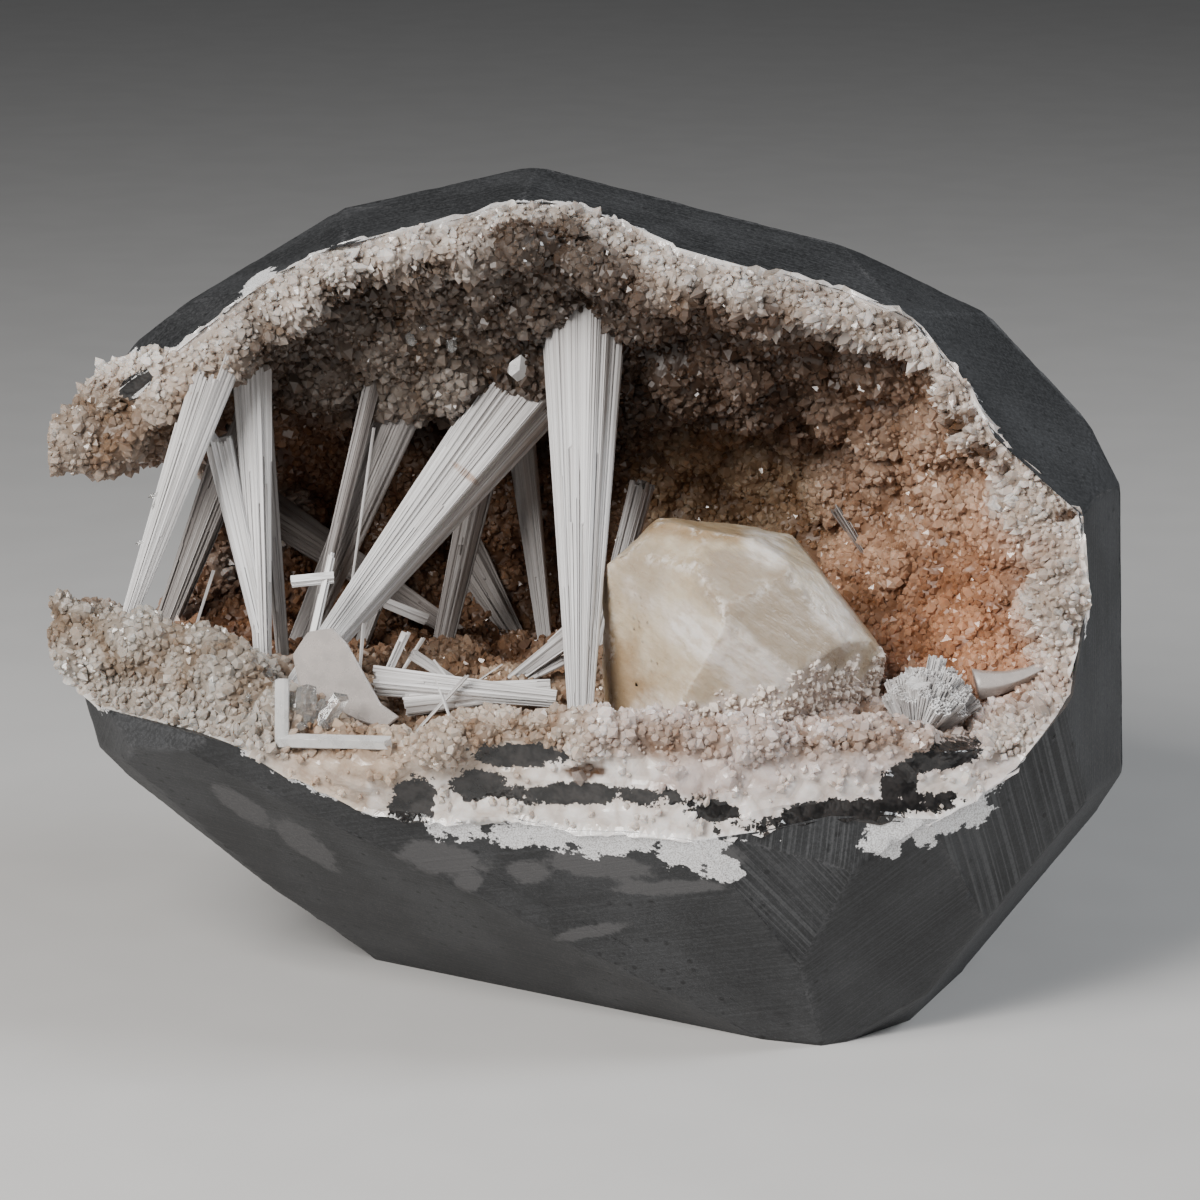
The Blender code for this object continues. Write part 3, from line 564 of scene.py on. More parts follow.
def build_mouth_place(name):
    """Object coordinates turned into the mouth frame, in mm."""
    tree, wiring, entry, leave = new_group(
        name, SHADER_TREE, [("Point", VECTOR, None)], [("Place", VECTOR)])
    turned = wiring.add("ShaderNodeMapping", {
        "Vector": entry["Point"], "Scale": (1 / MM,) * 3, "Rotation": (MOUTH_LEAN, 0, 0),
        "Location": (-MOUTH.x, -MOUTH.dot(IN_AXIS), -MOUTH.dot(UP_AXIS))})
    tree.links.new(turned, leave["Place"])
    return tree


def build_blotch(name):
    """An oval seen in the plane of the mouth, with its edge moved in and out by a ragged value."""
    tree, wiring, entry, leave = new_group(
        name, SHADER_TREE,
        [("Place", VECTOR, None), ("Centre", VECTOR, (0, 0, 0)), ("Radii", VECTOR, (5, 400, 5)),
         ("Turn", FLOAT, 0.0), ("Ragged", FLOAT, 0.0), ("Softness", FLOAT, 0.12)],
        [("Mask", FLOAT)])
    off = wiring.vector("SUBTRACT", entry["Place"], entry["Centre"])
    unit = wiring.vector("DIVIDE", wiring.turned(off, entry["Turn"]), entry["Radii"])
    edge = wiring.plus(wiring.length(unit), entry["Ragged"])
    low = wiring.minus(1.0, entry["Softness"])
    mask = wiring.span(edge, low, wiring.plus(entry["Softness"], 1.0), 1.0, 0.0)
    tree.links.new(mask, leave["Mask"])
    return tree


def build_saw_marks(name):
    """Irregular parallel grooves across a direction."""
    tree, wiring, entry, leave = new_group(
        name, SHADER_TREE,
        [("Point", VECTOR, None), ("Run", VECTOR, (0, 0, 1)), ("Spacing", FLOAT, 0.8)],
        [("Height", FLOAT)])
    warp = wiring.add("ShaderNodeTexNoise", {"Vector": entry["Point"], "Scale": 30.0, "Detail": 0.0}, "Color")
    warp = wiring.scaled(wiring.vector("SUBTRACT", warp, (0.5,) * 3), 0.0012)
    bent = wiring.vector("ADD", entry["Point"], warp)
    across = wiring.vector("DOT_PRODUCT", bent, entry["Run"], "Value")
    step = wiring.over(wiring.times(across, 1 / MM), entry["Spacing"])
    wide, fine = [
        wiring.add("ShaderNodeTexNoise", {"W": step, "Scale": scale, "Detail": 2.0}, noise_dimensions="1D")
        for scale in (1.0, 3.1)]
    tree.links.new(wiring.plus(wiring.times(wide, 0.65), wiring.times(fine, 0.35)), leave["Height"])
    return tree


def build_streaks(name):
    """Streaks along a needle from its own coordinates and tone."""
    tree, wiring, entry, leave = new_group(
        name, SHADER_TREE,
        [("Fibre", VECTOR, None), ("Needle Tone", FLOAT, 0.5), ("Fineness", FLOAT, 2.0)],
        [("Tone", FLOAT)])
    tone = entry["Needle Tone"]
    shift = wiring.join(wiring.times(tone, 53.0), wiring.times(tone, 17.0), 0.0)
    stretched = wiring.vector("MULTIPLY", entry["Fibre"], (1.0, 1.0, 0.7))
    point = wiring.vector("ADD", stretched, shift)
    tree.links.new(wiring.noise(point, entry["Fineness"], 2.0, 0.6), leave["Tone"])
    return tree


def new_material(name):
    made = bpy.data.materials.new(name)
    made.use_nodes = True
    made.node_tree.nodes.clear()
    return made, Wiring(made.node_tree)


def surface(wiring, inputs):
    """A Principled surface on the material's output; returns its node."""
    shader = wiring.add("ShaderNodeBsdfPrincipled", inputs)
    wiring.add("ShaderNodeOutputMaterial", {"Surface": shader})
    return shader.node


def bump(wiring, height, distance, strength=1.0):
    inputs = {"Height": height, "Distance": distance, "Strength": strength}
    return wiring.add("ShaderNodeBump", inputs)


def object_point(wiring):
    return wiring.add("ShaderNodeTexCoord", output="Object")


def ragged_share(wiring, share, ragged, amount, softness=0.05):
    """Where a share stored on the mesh, moved by a ragged noise, is over a half."""
    moved = wiring.times(wiring.times(ragged, amount), wiring.span(share, 0.0, 0.25))
    moved = wiring.plus(share, moved)
    return wiring.span(moved, 0.5 - softness, 0.5 + softness)


def basalt_material(stone):
    made, wiring = new_material("basalt")
    point = object_point(wiring)
    cloud = wiring.noise(point, 55.0, 3.0, 0.6)
    grain = wiring.noise(point, 1500.0, 2.0, 0.75)
    salt = wiring.noise(point, 3600.0, 1.0, 0.6)
    ragged = wiring.minus(wiring.noise(point, 230.0, 4.0, 0.72), 0.5)
    colour = wiring.blend(wiring.span(cloud, 0.35, 0.7), stone.dark, stone.light)
    pale = wiring.blend(1.0, colour, stone.fleck, "ADD")
    colour = wiring.blend(wiring.span(grain, 0.42, 0.66), colour, pale)
    bright = wiring.times(wiring.span(salt, 0.58, 0.75), wiring.span(cloud, 0.4, 0.6, 0.3, 1.0))
    colour = wiring.blend(wiring.times(bright, 0.6), colour, stone.vein)
    # Painted shade: small dark spots for pits that the mesh does not have
    pit = wiring.add("ShaderNodeTexVoronoi", {"Vector": point, "Scale": 330.0}, output="Distance")
    pit = wiring.times(wiring.span(pit, 0.24, 0.12), wiring.span(cloud, 0.47, 0.56))
    colour = wiring.blend(wiring.times(pit, 0.75), colour, stone.pit)
    marks = wiring.group(group_once("saw marks", build_saw_marks), {
        "Point": point, "Run": wiring.read("saw_run", "Vector"), "Spacing": wiring.read("saw_spacing")})
    lines = wiring.times(wiring.span(marks, 0.46, 0.64), wiring.read("saw_tone"))
    lines = wiring.times(lines, wiring.span(grain, 0.3, 0.6, 0.4, 1.0))
    colour = wiring.blend(lines, colour, stone.scratch)
    wear = wiring.times(wiring.read("wear"), wiring.span(grain, 0.35, 0.62))
    colour = wiring.blend(wiring.times(wear, 0.7), colour, stone.worn)
    grey = ragged_share(wiring, wiring.read("grey_share"), ragged, 1.8, 0.2)
    colour = wiring.blend(wiring.times(grey, 0.8), colour, stone.vein)
    mineral = wiring.span(salt, 0.35, 0.6)
    white = wiring.blend(mineral, stone.white_shade, stone.white)
    cover = ragged_share(wiring, wiring.read("white_share"), ragged, 2.6)
    edge = wiring.minus(wiring.read("fringe"), wiring.times(ragged, 13.0))
    cover = wiring.math("MAXIMUM", cover, wiring.span(edge, 0.8, 0.4))
    colour = wiring.blend(cover, colour, white)
    height = wiring.plus(wiring.times(marks, wiring.read("saw_bump")),
                         wiring.times(grain, 0.28))
    normal = bump(wiring, height, 0.0004, 0.8)
    rough = wiring.span(grain, 0.3, 0.7, 0.45, 0.7, "LINEAR")
    surface(wiring, {"Base Color": colour, "Roughness": rough, "Normal": normal, "Specular IOR Level": 0.45})
    return made


def druse_material(name, druse, bare=False):
    """Crystals of the crust; with bare, the crust itself, where basalt shows in places."""
    made, wiring = new_material(name)
    point = object_point(wiring)
    tint = wiring.read("tint", "Color")
    tone = wiring.read("crystal_tone")
    grain = wiring.noise(point, 420.0, 2.0, 0.65)
    # Random tone of each crystal; on the bed, the low tone between crystals is painted shade
    shade = wiring.shaded(tint, druse.shade)
    colour = wiring.blend(wiring.span(tone, 0.0, 1.0), shade, tint)
    milky = wiring.blend(1.0, colour, druse.milk, "SCREEN")
    colour = wiring.blend(wiring.span(grain, 0.55, 0.8, 0.0, 0.45), colour, milky)
    rough = wiring.span(tone, 0.55, 0.95, 0.46, 0.12)
    inputs = {
        "Roughness": rough, "IOR": 1.54, "Subsurface Weight": 0.2 if bare else 0.38,
        "Subsurface Radius": (1.0, 0.65, 0.45), "Subsurface Scale": 0.0014}
    if bare:
        ragged = wiring.minus(wiring.noise(point, 150.0, 5.0, 0.78), 0.5)
        stone = wiring.blend(wiring.span(grain, 0.35, 0.65), druse.island, druse.island_grain)
        colour = wiring.blend(ragged_share(wiring, wiring.read("island"), ragged, 3.2), colour, stone)
        inputs["Normal"] = bump(wiring, grain, 0.0004, 0.6)
    surface(wiring, {"Base Color": colour, **inputs})
    return made


def silk_material(spray):
    made, wiring = new_material("scolecite")
    tone = wiring.read("needle_tone")
    streak = wiring.group(group_once("streaks", build_streaks), {
        "Fibre": wiring.read("fibre", "Vector"), "Needle Tone": tone, "Fineness": 2.6})
    # Less white needles get the back colour: partly their own grey, partly painted shade deep in the hollow
    white = wiring.blend(wiring.read("whiteness"), spray.back, spray.silk)
    grey = wiring.shaded(white, spray.streak)
    colour = wiring.blend(wiring.span(streak, 0.34, 0.56), grey, white)
    colour = wiring.blend(wiring.span(tone, 0.0, 0.3, 0.55, 0.0), colour, grey)
    # Painted shade: the upper ends of sprays that are not fully white, where they meet the ceiling, are
    # darkened
    along = wiring.height_of(wiring.read("fibre", "Vector"))
    painted_top_shade = wiring.shaded(colour, spray.streak)
    top_shade_share = wiring.span(wiring.read("whiteness"), 0.78, 1.0, 0.85, 0.0)
    colour = wiring.blend(wiring.times(wiring.span(along, 0.72, 1.0), top_shade_share), colour, painted_top_shade)
    mouth = wiring.group(group_once("mouth place", build_mouth_place), {"Point": object_point(wiring)})
    rust = wiring.group(group_once("blotch", build_blotch), {
        "Place": mouth, "Centre": RUST_MARK, "Radii": (3.0, 400.0, 0.7), "Turn": -0.7, "Softness": 0.4})
    rust = wiring.times(rust, wiring.span(streak, 0.4, 0.6, 0.1, 0.8))
    colour = wiring.blend(rust, colour, spray.rust)
    rough = wiring.span(streak, 0.3, 0.7, 0.48, 0.28, "LINEAR")
    normal = bump(wiring, streak, 0.00012, 0.6)
    surface(wiring, {"Base Color": colour, "Roughness": rough, "Normal": normal, "IOR": 1.51})
    return made


def calcite_material(calcite):
    made, wiring = new_material("calcite")
    point = object_point(wiring)
    mouth = wiring.group(group_once("mouth place", build_mouth_place), {"Point": point})
    cloud = wiring.noise(point, 110.0, 3.0, 0.6)
    fine = wiring.noise(point, 900.0, 2.0, 0.6)
    slanted = wiring.vector("MULTIPLY", wiring.turned(mouth, CALCITE_SLANT), (0.26, 0.4, 0.9))
    veil = wiring.noise(slanted, 0.6, 4.0, 0.6)
    ragged = wiring.times(wiring.minus(cloud, 0.5), 1.6)
    colour = wiring.blend(wiring.span(cloud, 0.35, 0.65), calcite.body, calcite.pale)
    blotch = group_once("blotch", build_blotch)

    def oval(middle, radii, turn, softness):
        inputs = {"Place": mouth, "Centre": middle, "Radii": radii, "Turn": turn}
        return wiring.group(blotch, {**inputs, "Ragged": ragged, "Softness": softness})

    # Darker ovals: the plane colour is painted shade on the front plane, and the thin brown band along the
    # top edge at z 13 is painted shade; the brown oval low on the left is the calcite's own brown
    for middle, radii, turn, softness, share, tint in (
            ((33.0, 0, -3.0), (17.0, 400.0, 9.0), CALCITE_SLANT, 0.15, 0.85, calcite.plane),
            ((4.0, 0, -16.0), (4.5, 400.0, 10.0), 0.2, 0.4, 0.85, calcite.brown),
            ((18.0, 0, 13.0), (12.0, 400.0, 2.4), -0.1, 0.4, 0.8, calcite.brown),
            ((8.0, 0, 4.0), (6.0, 400.0, 6.0), 0.4, 0.4, 0.6, calcite.plane)):
        colour = wiring.blend(wiring.times(oval(middle, radii, turn, softness), share), colour, tint)
    for middle, radii, turn, share in (
            ((25.0, 0, -11.5), (20.0, 400.0, 4.2), CALCITE_SLANT, 0.95),
            ((41.5, 0, -1.5), (9.0, 400.0, 3.4), -0.9, 0.7),
            ((30.0, 0, 9.5), (4.0, 400.0, 3.0), -0.5, 0.8),
            ((30.0, 0, -26.0), (26.0, 400.0, 8.0), 0.0, 0.8)):
        cover = wiring.times(oval(middle, radii, turn, 0.4), wiring.span(veil, 0.3, 0.55, 0.35, share))
        colour = wiring.blend(cover, colour, calcite.band)
    chips = wiring.times(wiring.read("wear"), wiring.span(fine, 0.4, 0.6))
    colour = wiring.blend(wiring.times(chips, 0.8), colour, calcite.band)
    shade = wiring.shaded(colour, calcite.shade)
    colour = wiring.blend(wiring.span(veil, 0.6, 0.42, 0.0, 0.3), colour, shade)
    frost = wiring.times(wiring.read("grow"), wiring.span(fine, 0.35, 0.6, 0.5, 0.95))
    colour = wiring.blend(frost, colour, calcite.frost)
    height = wiring.plus(veil, wiring.times(fine, 0.3))
    normal = bump(wiring, height, 0.0006, 0.7)
    rough = wiring.span(veil, 0.3, 0.7, 0.24, 0.5, "LINEAR")
    surface(wiring, {
        "Base Color": colour, "Roughness": rough, "Normal": normal, "IOR": 1.55,
        "Subsurface Weight": 0.35, "Subsurface Radius": (1.0, 0.7, 0.45), "Subsurface Scale": 0.003})
    return made


def clear_material(name, colour, see_through, roughness, tint, density):
    """See-through crystal: plain transmission, IOR and absorption, cloudier where veiled."""
    made, wiring = new_material(name)
    point = object_point(wiring)
    veil = wiring.noise(point, 420.0, 3.0, 0.65)
    rough = wiring.span(veil, 0.45, 0.75, roughness, roughness + 0.25, "LINEAR")
    base = wiring.blend(wiring.span(veil, 0.4, 0.7), colour, [0.82 * part for part in colour])
    normal = bump(wiring, veil, 0.00025, 0.4)
    shader = wiring.add("ShaderNodeBsdfPrincipled", {
        "Base Color": base, "Roughness": rough, "Normal": normal, "IOR": 1.53,
        "Transmission Weight": see_through})
    absorb = wiring.add("ShaderNodeVolumeAbsorption", {"Color": rgba(tint), "Density": density})
    wiring.add("ShaderNodeOutputMaterial", {"Surface": shader, "Volume": absorb})
    return made


# Basalt

def saw_marks_of(normal):
    """Way, spacing, depth and tone of the saw marks on a flat."""
    for _name, azimuth, elevation, *marks in SAW_MARKS:
        if normal.dot(direction(azimuth, elevation)) > SAME_FLAT:
            return marks
    return PLAIN_MARKS


def run_across(normal, way):
    """The direction across the marks, in the flat, for marks that go a way in the mouth's plane."""
    a = math.radians(way)
    along = X_AXIS * math.cos(a) + UP_AXIS * math.sin(a)
    along = along - normal * along.dot(normal)
    return normal.cross(along.normalized())


def groove(point, run, spacing, seed):
    """Depth of the saw marks at a point, 0 to 1."""
    across = point.dot(run) / MM / spacing
    wave = noise.noise(Vector((across, seed, 0.0))) + 0.5 * noise.noise(Vector((across * 2.3, seed, 4.0)))
    return 0.5 + 0.5 * max(-1.0, min(1.0, wave * 1.3))


def build_basalt(settings):
    bm = merged_copy("basalt_shell")
    corners = np.array([vert.co for vert in bm.verts])
    outer = bm.faces.layers.int.new("outer")
    for face in bm.faces:
        reach = (corners @ np.array(face.normal)).max() - face.normal.dot(face.calc_center_median())
        if reach < FLAT_TOLERANCE:
            face[outer] = 2 if saw_marks_of(face.normal)[2] > CUT_MARKS else 1
    sizes = {0: None, 1: STONE_EDGE, 2: STRIATED_EDGE}
    refine(bm, lambda face: sizes[face[outer]])
    bm.normal_update()
    crust = solid_tree("druse_crust")
    mouth_edge = [vert for vert in bm.verts if len({bool(face[outer]) for face in vert.link_faces}) == 2
                  and crust.find_nearest(vert.co)[3] < SEAT_GAP]
    tree = nearest_of(mouth_edge)
    bm.verts.index_update()
    fringe = [tree.find(vert.co)[2] / MM for vert in bm.verts]
    worn = {}
    moves = []
    for vert in bm.verts:
        faces = [face for face in vert.link_faces if face[outer]]
        if not faces or len(faces) < len(vert.link_faces) or vert.co.z < BASE_BAND:
            continue
        sharp = max(faces[0].normal.angle(face.normal, 0.0) for face in faces)
        point = vert.co / MM
        inward = 0.05 * (1.0 + noise.noise(point / 7.0)) + 0.05 * abs(noise.noise(point / 2.1))
        chip = max(0.0, noise.noise(point / 5.0 + Vector((4.0, 1.0, 7.0))) - 0.1)
        if sharp > WORN_ANGLE:
            inward += 0.16 + 0.5 * chip
            worn[vert.index] = 0.35 + 0.65 * min(1.0, chip * 3)
        else:
            way, spacing, depth, _tone = saw_marks_of(faces[0].normal)
            if depth > CUT_MARKS:
                run = run_across(faces[0].normal, way)
                inward += depth * groove(vert.co, run, spacing, way)
        moves.append((vert, vert.normal * -inward * MM))
    runs = []
    marks = []
    for face in bm.faces:
        way, spacing, depth, tone = saw_marks_of(face.normal)
        runs.append(tuple(run_across(face.normal, way)))
        marks.append((spacing, tone, min(1.0, 0.12 + depth * 5)))
        face.smooth = bool(face[outer])
    for vert, move in moves:
        vert.co += move
    wear = [worn.get(i, 0.0) for i in range(len(bm.verts))]
    mesh = mesh_of("basalt_block", bm)
    local = mouth_frame(points_of(mesh))
    fringe = np.array(fringe) + 9.0 * smooth(oval_share(local, ISLANDS) / 0.3)
    spacings, tones, bumps = zip(*marks)
    store(mesh, "FACE", "FLOAT_VECTOR", saw_run=runs)
    store(mesh, "FACE", "FLOAT", saw_spacing=spacings, saw_tone=tones, saw_bump=bumps)
    store(mesh, "POINT", "FLOAT", wear=wear, fringe=fringe, white_share=oval_share(local, WHITE_PATCHES),
          grey_share=oval_share(local, GREY_PATCHES))
    mesh.set_sharp_from_angle(angle=math.radians(24))
    return keep("basalt_block", mesh, basalt_material(settings.stone), ["basalt_shell"])


# Crust

def cell(point, size, shift):
    """A round lump of a cell pattern, 0 to 1, and how near its gap to the next lump lies."""
    distances = noise.voronoi(point / size + Vector(shift))[0]
    lump = 1.0 - (distances[0] / 0.8) ** 2
    gap = max(0.0, 1.0 - (distances[1] - distances[0]) / GAP_WIDTH)
    return lump, gap


def bed_height(point, swell):
    """Height of the lumps at a point in mm, and how deep it lies in a gap between them."""
    (big, big_gap), (middle, middle_gap), (small, small_gap) = [cell(point, *lump) for lump in LUMPS]
    height = swell * 4.6 * (big - 0.35) + 1.4 * (middle - 0.4) + 0.35 * (small - 0.5)
    gap = max(swell * big_gap, 0.55 * middle_gap, 0.2 * small_gap)
    return height, gap


def oval_share(points, table):
    """How far points of the mouth frame lie inside a set of ovals: over 0.5 inside, 1 in the middle."""
    share = np.zeros(len(points))
    for x, z, half_width, half_height, turn in table:
        right = points[:, 0] - x
        up = points[:, 2] - z
        u = (right * math.cos(turn) + up * math.sin(turn)) / half_width
        v = (up * math.cos(turn) - right * math.sin(turn)) / half_height
        share = np.maximum(share, 0.5 + 1.1 * (1.0 - np.hypot(u, v)))
    near = 1.0 - smooth((points[:, 1] + 14.0) / 4.0)
    return np.clip(share, 0.0, 1.0) * near


def lining_colours(points, seam_distance, gaps, settings):
    """Colour of the lining at points of the mouth frame, whiter toward the rim, and darker and browner in the
    gaps between lumps as painted shade.
    """
    total = np.zeros(len(points))
    colours = np.zeros((len(points), 3))
    for _name, middle, reach, colour in LINING_TINTS:
        away = np.linalg.norm(points - np.array(middle), axis=1) / reach
        weight = np.exp(-1.8 * away * away) + 1e-9
        total += weight
        colours += weight[:, None] * np.array(colour)
    colours /= total[:, None]
    patch = np.array([noise.noise(Vector(point) / 6.0) for point in points])
    rim = 1.0 - smooth((seam_distance - 4.5 - 3.0 * patch) / 5.0)
    stain = np.array([noise.noise(Vector(point) / 15.0) for point in points])
    right = 0.55 + 0.9 * np.clip(patch + 0.1, 0.0, 0.5)
    rim *= np.where(points[:, 0] > 55, right, 0.95 - 0.5 * np.abs(stain))
    rim *= np.where((points[:, 0] < -42) & (points[:, 2] < 4), 0.3, 1.0)
    tuft = smooth((oval_share(points, WHITE_TUFTS) - 0.35 + 0.3 * patch) / 0.3)
    rim = np.maximum(rim, tuft)
    colours += rim[:, None] * (np.array(settings.druse.rim) * 0.85 + colours * 0.15 - colours)
    brown = smooth((oval_share(points, BROWN_SPOTS) - 0.4) / 0.25)
    colours += brown[:, None] * (np.array(settings.druse.hole) - colours)
    # Painted shade: darker and browner deep in the gaps between lumps
    colours *= 1.0 - gaps[:, None] * np.array(settings.druse.gap)
    return colours * (1.0 + 0.16 * patch[:, None])


def part_of_lining(face, away):
    """Zone of a face of the crust: 0 rim, 1 ceiling, 2 walls, 3 floor."""
    if away < RIM_REACH:
        return 0
    if face.normal.z < CEILING_TILT:
        return 1
    return 3 if face.normal.z > FLOOR_TILT else 2


def build_bed(settings):
    """The crust itself, with its face against the rock left plain."""
    bm = merged_copy("druse_crust")
    rock = solid_tree("basalt_shell")
    seated = bm.faces.layers.int.new("seated")
    for face in bm.faces:
        start = face.calc_center_median() + face.normal * MERGE
        hit = rock.ray_cast(start, face.normal, SEAT_GAP)
        face[seated] = 1 if hit[0] is not None else 0
    refine(bm, lambda face: None if face[seated] else BED_EDGE)
    bm.verts.index_update()
    seam = [vert for vert in bm.verts if len({face[seated] for face in vert.link_faces}) == 2]
    tree = nearest_of(seam)
    opened = [vert for vert in bm.verts if not any(face[seated] for face in vert.link_faces)]
    for _round in range(2):
        bmesh.ops.smooth_vert(bm, verts=opened, factor=0.5, use_axis_x=True, use_axis_y=True, use_axis_z=True)
    bm.normal_update()
    count = len(bm.verts)
    seam_distance = np.array([tree.find(vert.co)[2] / MM for vert in bm.verts])
    flat_way = np.array([vert.normal for vert in bm.verts])
    local = mouth_frame(np.array([vert.co for vert in bm.verts]))
    island = oval_share(local, ISLANDS)
    sawn = smooth((-26.0 - local[:, 2]) / 4.0) * smooth((-40.0 - local[:, 1]) / 4.0)
    bm.faces.index_update()
    zones = []
    for face in bm.faces:
        zones.append(-1 if face[seated] else part_of_lining(face, seam_distance[face.verts[0].index]))
    gaps = np.zeros(count)
    moves = []
    for vert in opened:
        i = vert.index
        away = seam_distance[i]
        swell = 0.35 + 0.65 * min(1.0, max(0.0, away - 3.0) / 5.0)
        swell *= 1.0 - 0.8 * sawn[i]
        height, gaps[i] = bed_height(vert.co / MM, swell)
        height *= min(1.0, away / 2.0) * (1.0 - min(1.0, max(0.0, island[i] - 0.3) / 0.2))
        height *= 1.0 - 0.5 * sawn[i]
        moves.append(vert.normal * (height * MM))
    for vert in seam:
        into = sum((face.normal for face in vert.link_faces if face[seated]), Vector()).normalized()
        front = sum((face.normal for face in vert.link_faces if not face[seated]), Vector()).normalized()
        ragged = max(0.0, noise.noise(vert.co / (2.2 * MM)) + 0.1)
        opened.append(vert)
        moves.append(into * (0.55 + 1.3 * ragged) * MM + front * 0.35 * MM)
    for vert, move in zip(opened, moves):
        vert.co += move
    bm.normal_update()
    way = np.array([vert.normal for vert in bm.verts]) * 0.6 + flat_way * 0.4
    hub = np.stack([-local[:, 0], np.zeros(count), 16.0 - local[:, 2]], axis=1)
    hub /= np.linalg.norm(hub, axis=1)[:, None] + 1e-9
    inward = hub[:, :1] * np.array(X_AXIS) + hub[:, 2:] * np.array(UP_AXIS) - 0.5 * np.array(IN_AXIS)
    at_rim = (1.0 - smooth((seam_distance - 5.0) / 6.0)) * smooth((seam_distance - 0.5) / 2.0)
    way += (0.8 * at_rim)[:, None] * inward
    backed = np.array([all(face[seated] for face in vert.link_faces) for vert in bm.verts])
    bare = backed | (island > 0.42) | (seam_distance < 0.4)
    grow = np.where(bare, 0.0, 1.0 - 0.8 * sawn)
    rng = random.Random(5)
    # Painted shade: where crystals grow, the bed between them gets a low tone and is drawn near its shade
    # colour; where none grow its tone is high
    tones = [rng.uniform(0.1, 0.3) + 0.7 * (1.0 - grow[face.verts[0].index]) for face in bm.faces]
    mesh = mesh_of("crust_bed", bm)
    colours = lining_colours(local, seam_distance, gaps, settings)
    store(mesh, "POINT", "FLOAT_COLOR", tint=np.concatenate([colours, np.ones((count, 1))], axis=1))
    store(mesh, "POINT", "FLOAT", grow=grow, island=island)
    store(mesh, "POINT", "FLOAT_VECTOR", aim=way)
    store(mesh, "FACE", "INT", zone=zones)
    store(mesh, "FACE", "FLOAT", crystal_tone=tones)
    look = druse_material("crust", settings.druse, bare=True)
    return keep("crust_bed", mesh, look, ["druse_crust"])


def build_druse_tree(name):
    """Pointed crystals scattered over one zone of the crust."""
    tree, wiring, entry, leave = new_group(
        name, GEOMETRY_TREE,
        [("Bed", GEOMETRY, None), ("Zone", INTEGER, 0), ("Spacing", FLOAT, 0.0012), ("Size", FLOAT, 0.001),
         ("Length", FLOAT, 1.0), ("Lean", FLOAT, 0.5), ("Seed", INTEGER, 1), ("Look", MATERIAL, None)],
        [("Crystals", GEOMETRY)])
    here = wiring.add("FunctionNodeCompare", {2: wiring.named("zone", "INT"), 3: entry["Zone"]},
                      data_type="INT", operation="EQUAL")
    density = wiring.over(1.4, wiring.times(entry["Spacing"], entry["Spacing"]))
    points = wiring.add("GeometryNodeDistributePointsOnFaces", {
        "Mesh": entry["Bed"], "Selection": here, "Distance Min": entry["Spacing"], "Density Max": density,
        "Density Factor": wiring.named("grow"), "Seed": entry["Seed"]}, distribute_method="POISSON")
    aim = wiring.named("aim", "FLOAT_VECTOR")
    facing = wiring.add("FunctionNodeAlignRotationToVector", {"Vector": aim}, axis="Z")
    shapes = tree.nodes.new("GeometryNodeJoinGeometry")
    for sides, waist in CRYSTAL_SHAPES:
        cone = wiring.add("GeometryNodeMeshCone", {
            "Vertices": sides, "Side Segments": 2, "Radius Top": 0.0, "Radius Bottom": 0.5, "Depth": 1.0},
            fill_type="NGON")
        spot = wiring.add("GeometryNodeInputPosition")
        middle = wiring.add("FunctionNodeCompare", {0: wiring.height_of(spot), 1: 0.5, 12: 0.1},
                            data_type="FLOAT", operation="EQUAL")
        wide = wiring.vector("MULTIPLY", spot, (1.9, 1.9, 2 * waist))
        cut = wiring.add("GeometryNodeSetPosition", {"Geometry": cone, "Selection": middle, "Position": wide})
        sunk = wiring.add("GeometryNodeTransform", {"Geometry": cut, "Translation": (0, 0, -0.3)})
        tree.links.new(wiring.add("GeometryNodeGeometryToInstance", {0: sunk}), shapes.inputs[0])
    pick = wiring.add("FunctionNodeRandomValue", {4: 0, 5: len(CRYSTAL_SHAPES) - 1, "Seed": entry["Seed"]}, 2,
                      data_type="INT")
    back = wiring.times(entry["Lean"], -1.0)
    spin = wiring.chance_vector(
        wiring.join(back, back, -3.1), wiring.join(entry["Lean"], entry["Lean"], 3.1), entry["Seed"])
    spin = wiring.add("FunctionNodeEulerToRotation", {0: spin})
    turned = wiring.add("FunctionNodeRotateRotation", {0: facing, 1: spin}, rotation_space="LOCAL")
    girth = wiring.chance_vector((0.75, 0.75, 0.8), (1.3, 1.3, 1.7), 7)
    girth = wiring.vector("MULTIPLY", girth, wiring.join(1.0, 1.0, entry["Length"]))
    size = wiring.scaled(girth, wiring.times(wiring.chance(0.4, 1.4, 9), entry["Size"]))
    grown = wiring.add("GeometryNodeInstanceOnPoints", {
        "Points": points, "Instance": shapes.outputs[0], "Pick Instance": True, "Instance Index": pick,
        "Rotation": turned, "Scale": size})
    toned = wiring.stored(grown, "crystal_tone", wiring.chance(0.42, 1.0, 11))
    tree.links.new(wiring.finished(toned, entry["Look"]), leave["Crystals"])
    return tree


def grown_mesh(name, tree, carrier, inputs):
    """Run a Geometry Nodes tree on a carrier object and return what it makes as a plain mesh."""
    step = carrier.modifiers.new(name, "NODES")
    step.node_group = tree
    for item in tree.interface.items_tree:
        if item.item_type == "SOCKET" and item.in_out == "INPUT" and item.name in inputs:
            step[item.identifier] = inputs[item.name]
    graph = bpy.context.evaluated_depsgraph_get()
    mesh = bpy.data.meshes.new_from_object(carrier.evaluated_get(graph))
    carrier.modifiers.remove(step)
    mesh.name = name
    return mesh


# Crystals of the crust: sides and waist of each kind
CRYSTAL_SHAPES = ((6, 0.62), (5, 0.55), (4, 0.66))
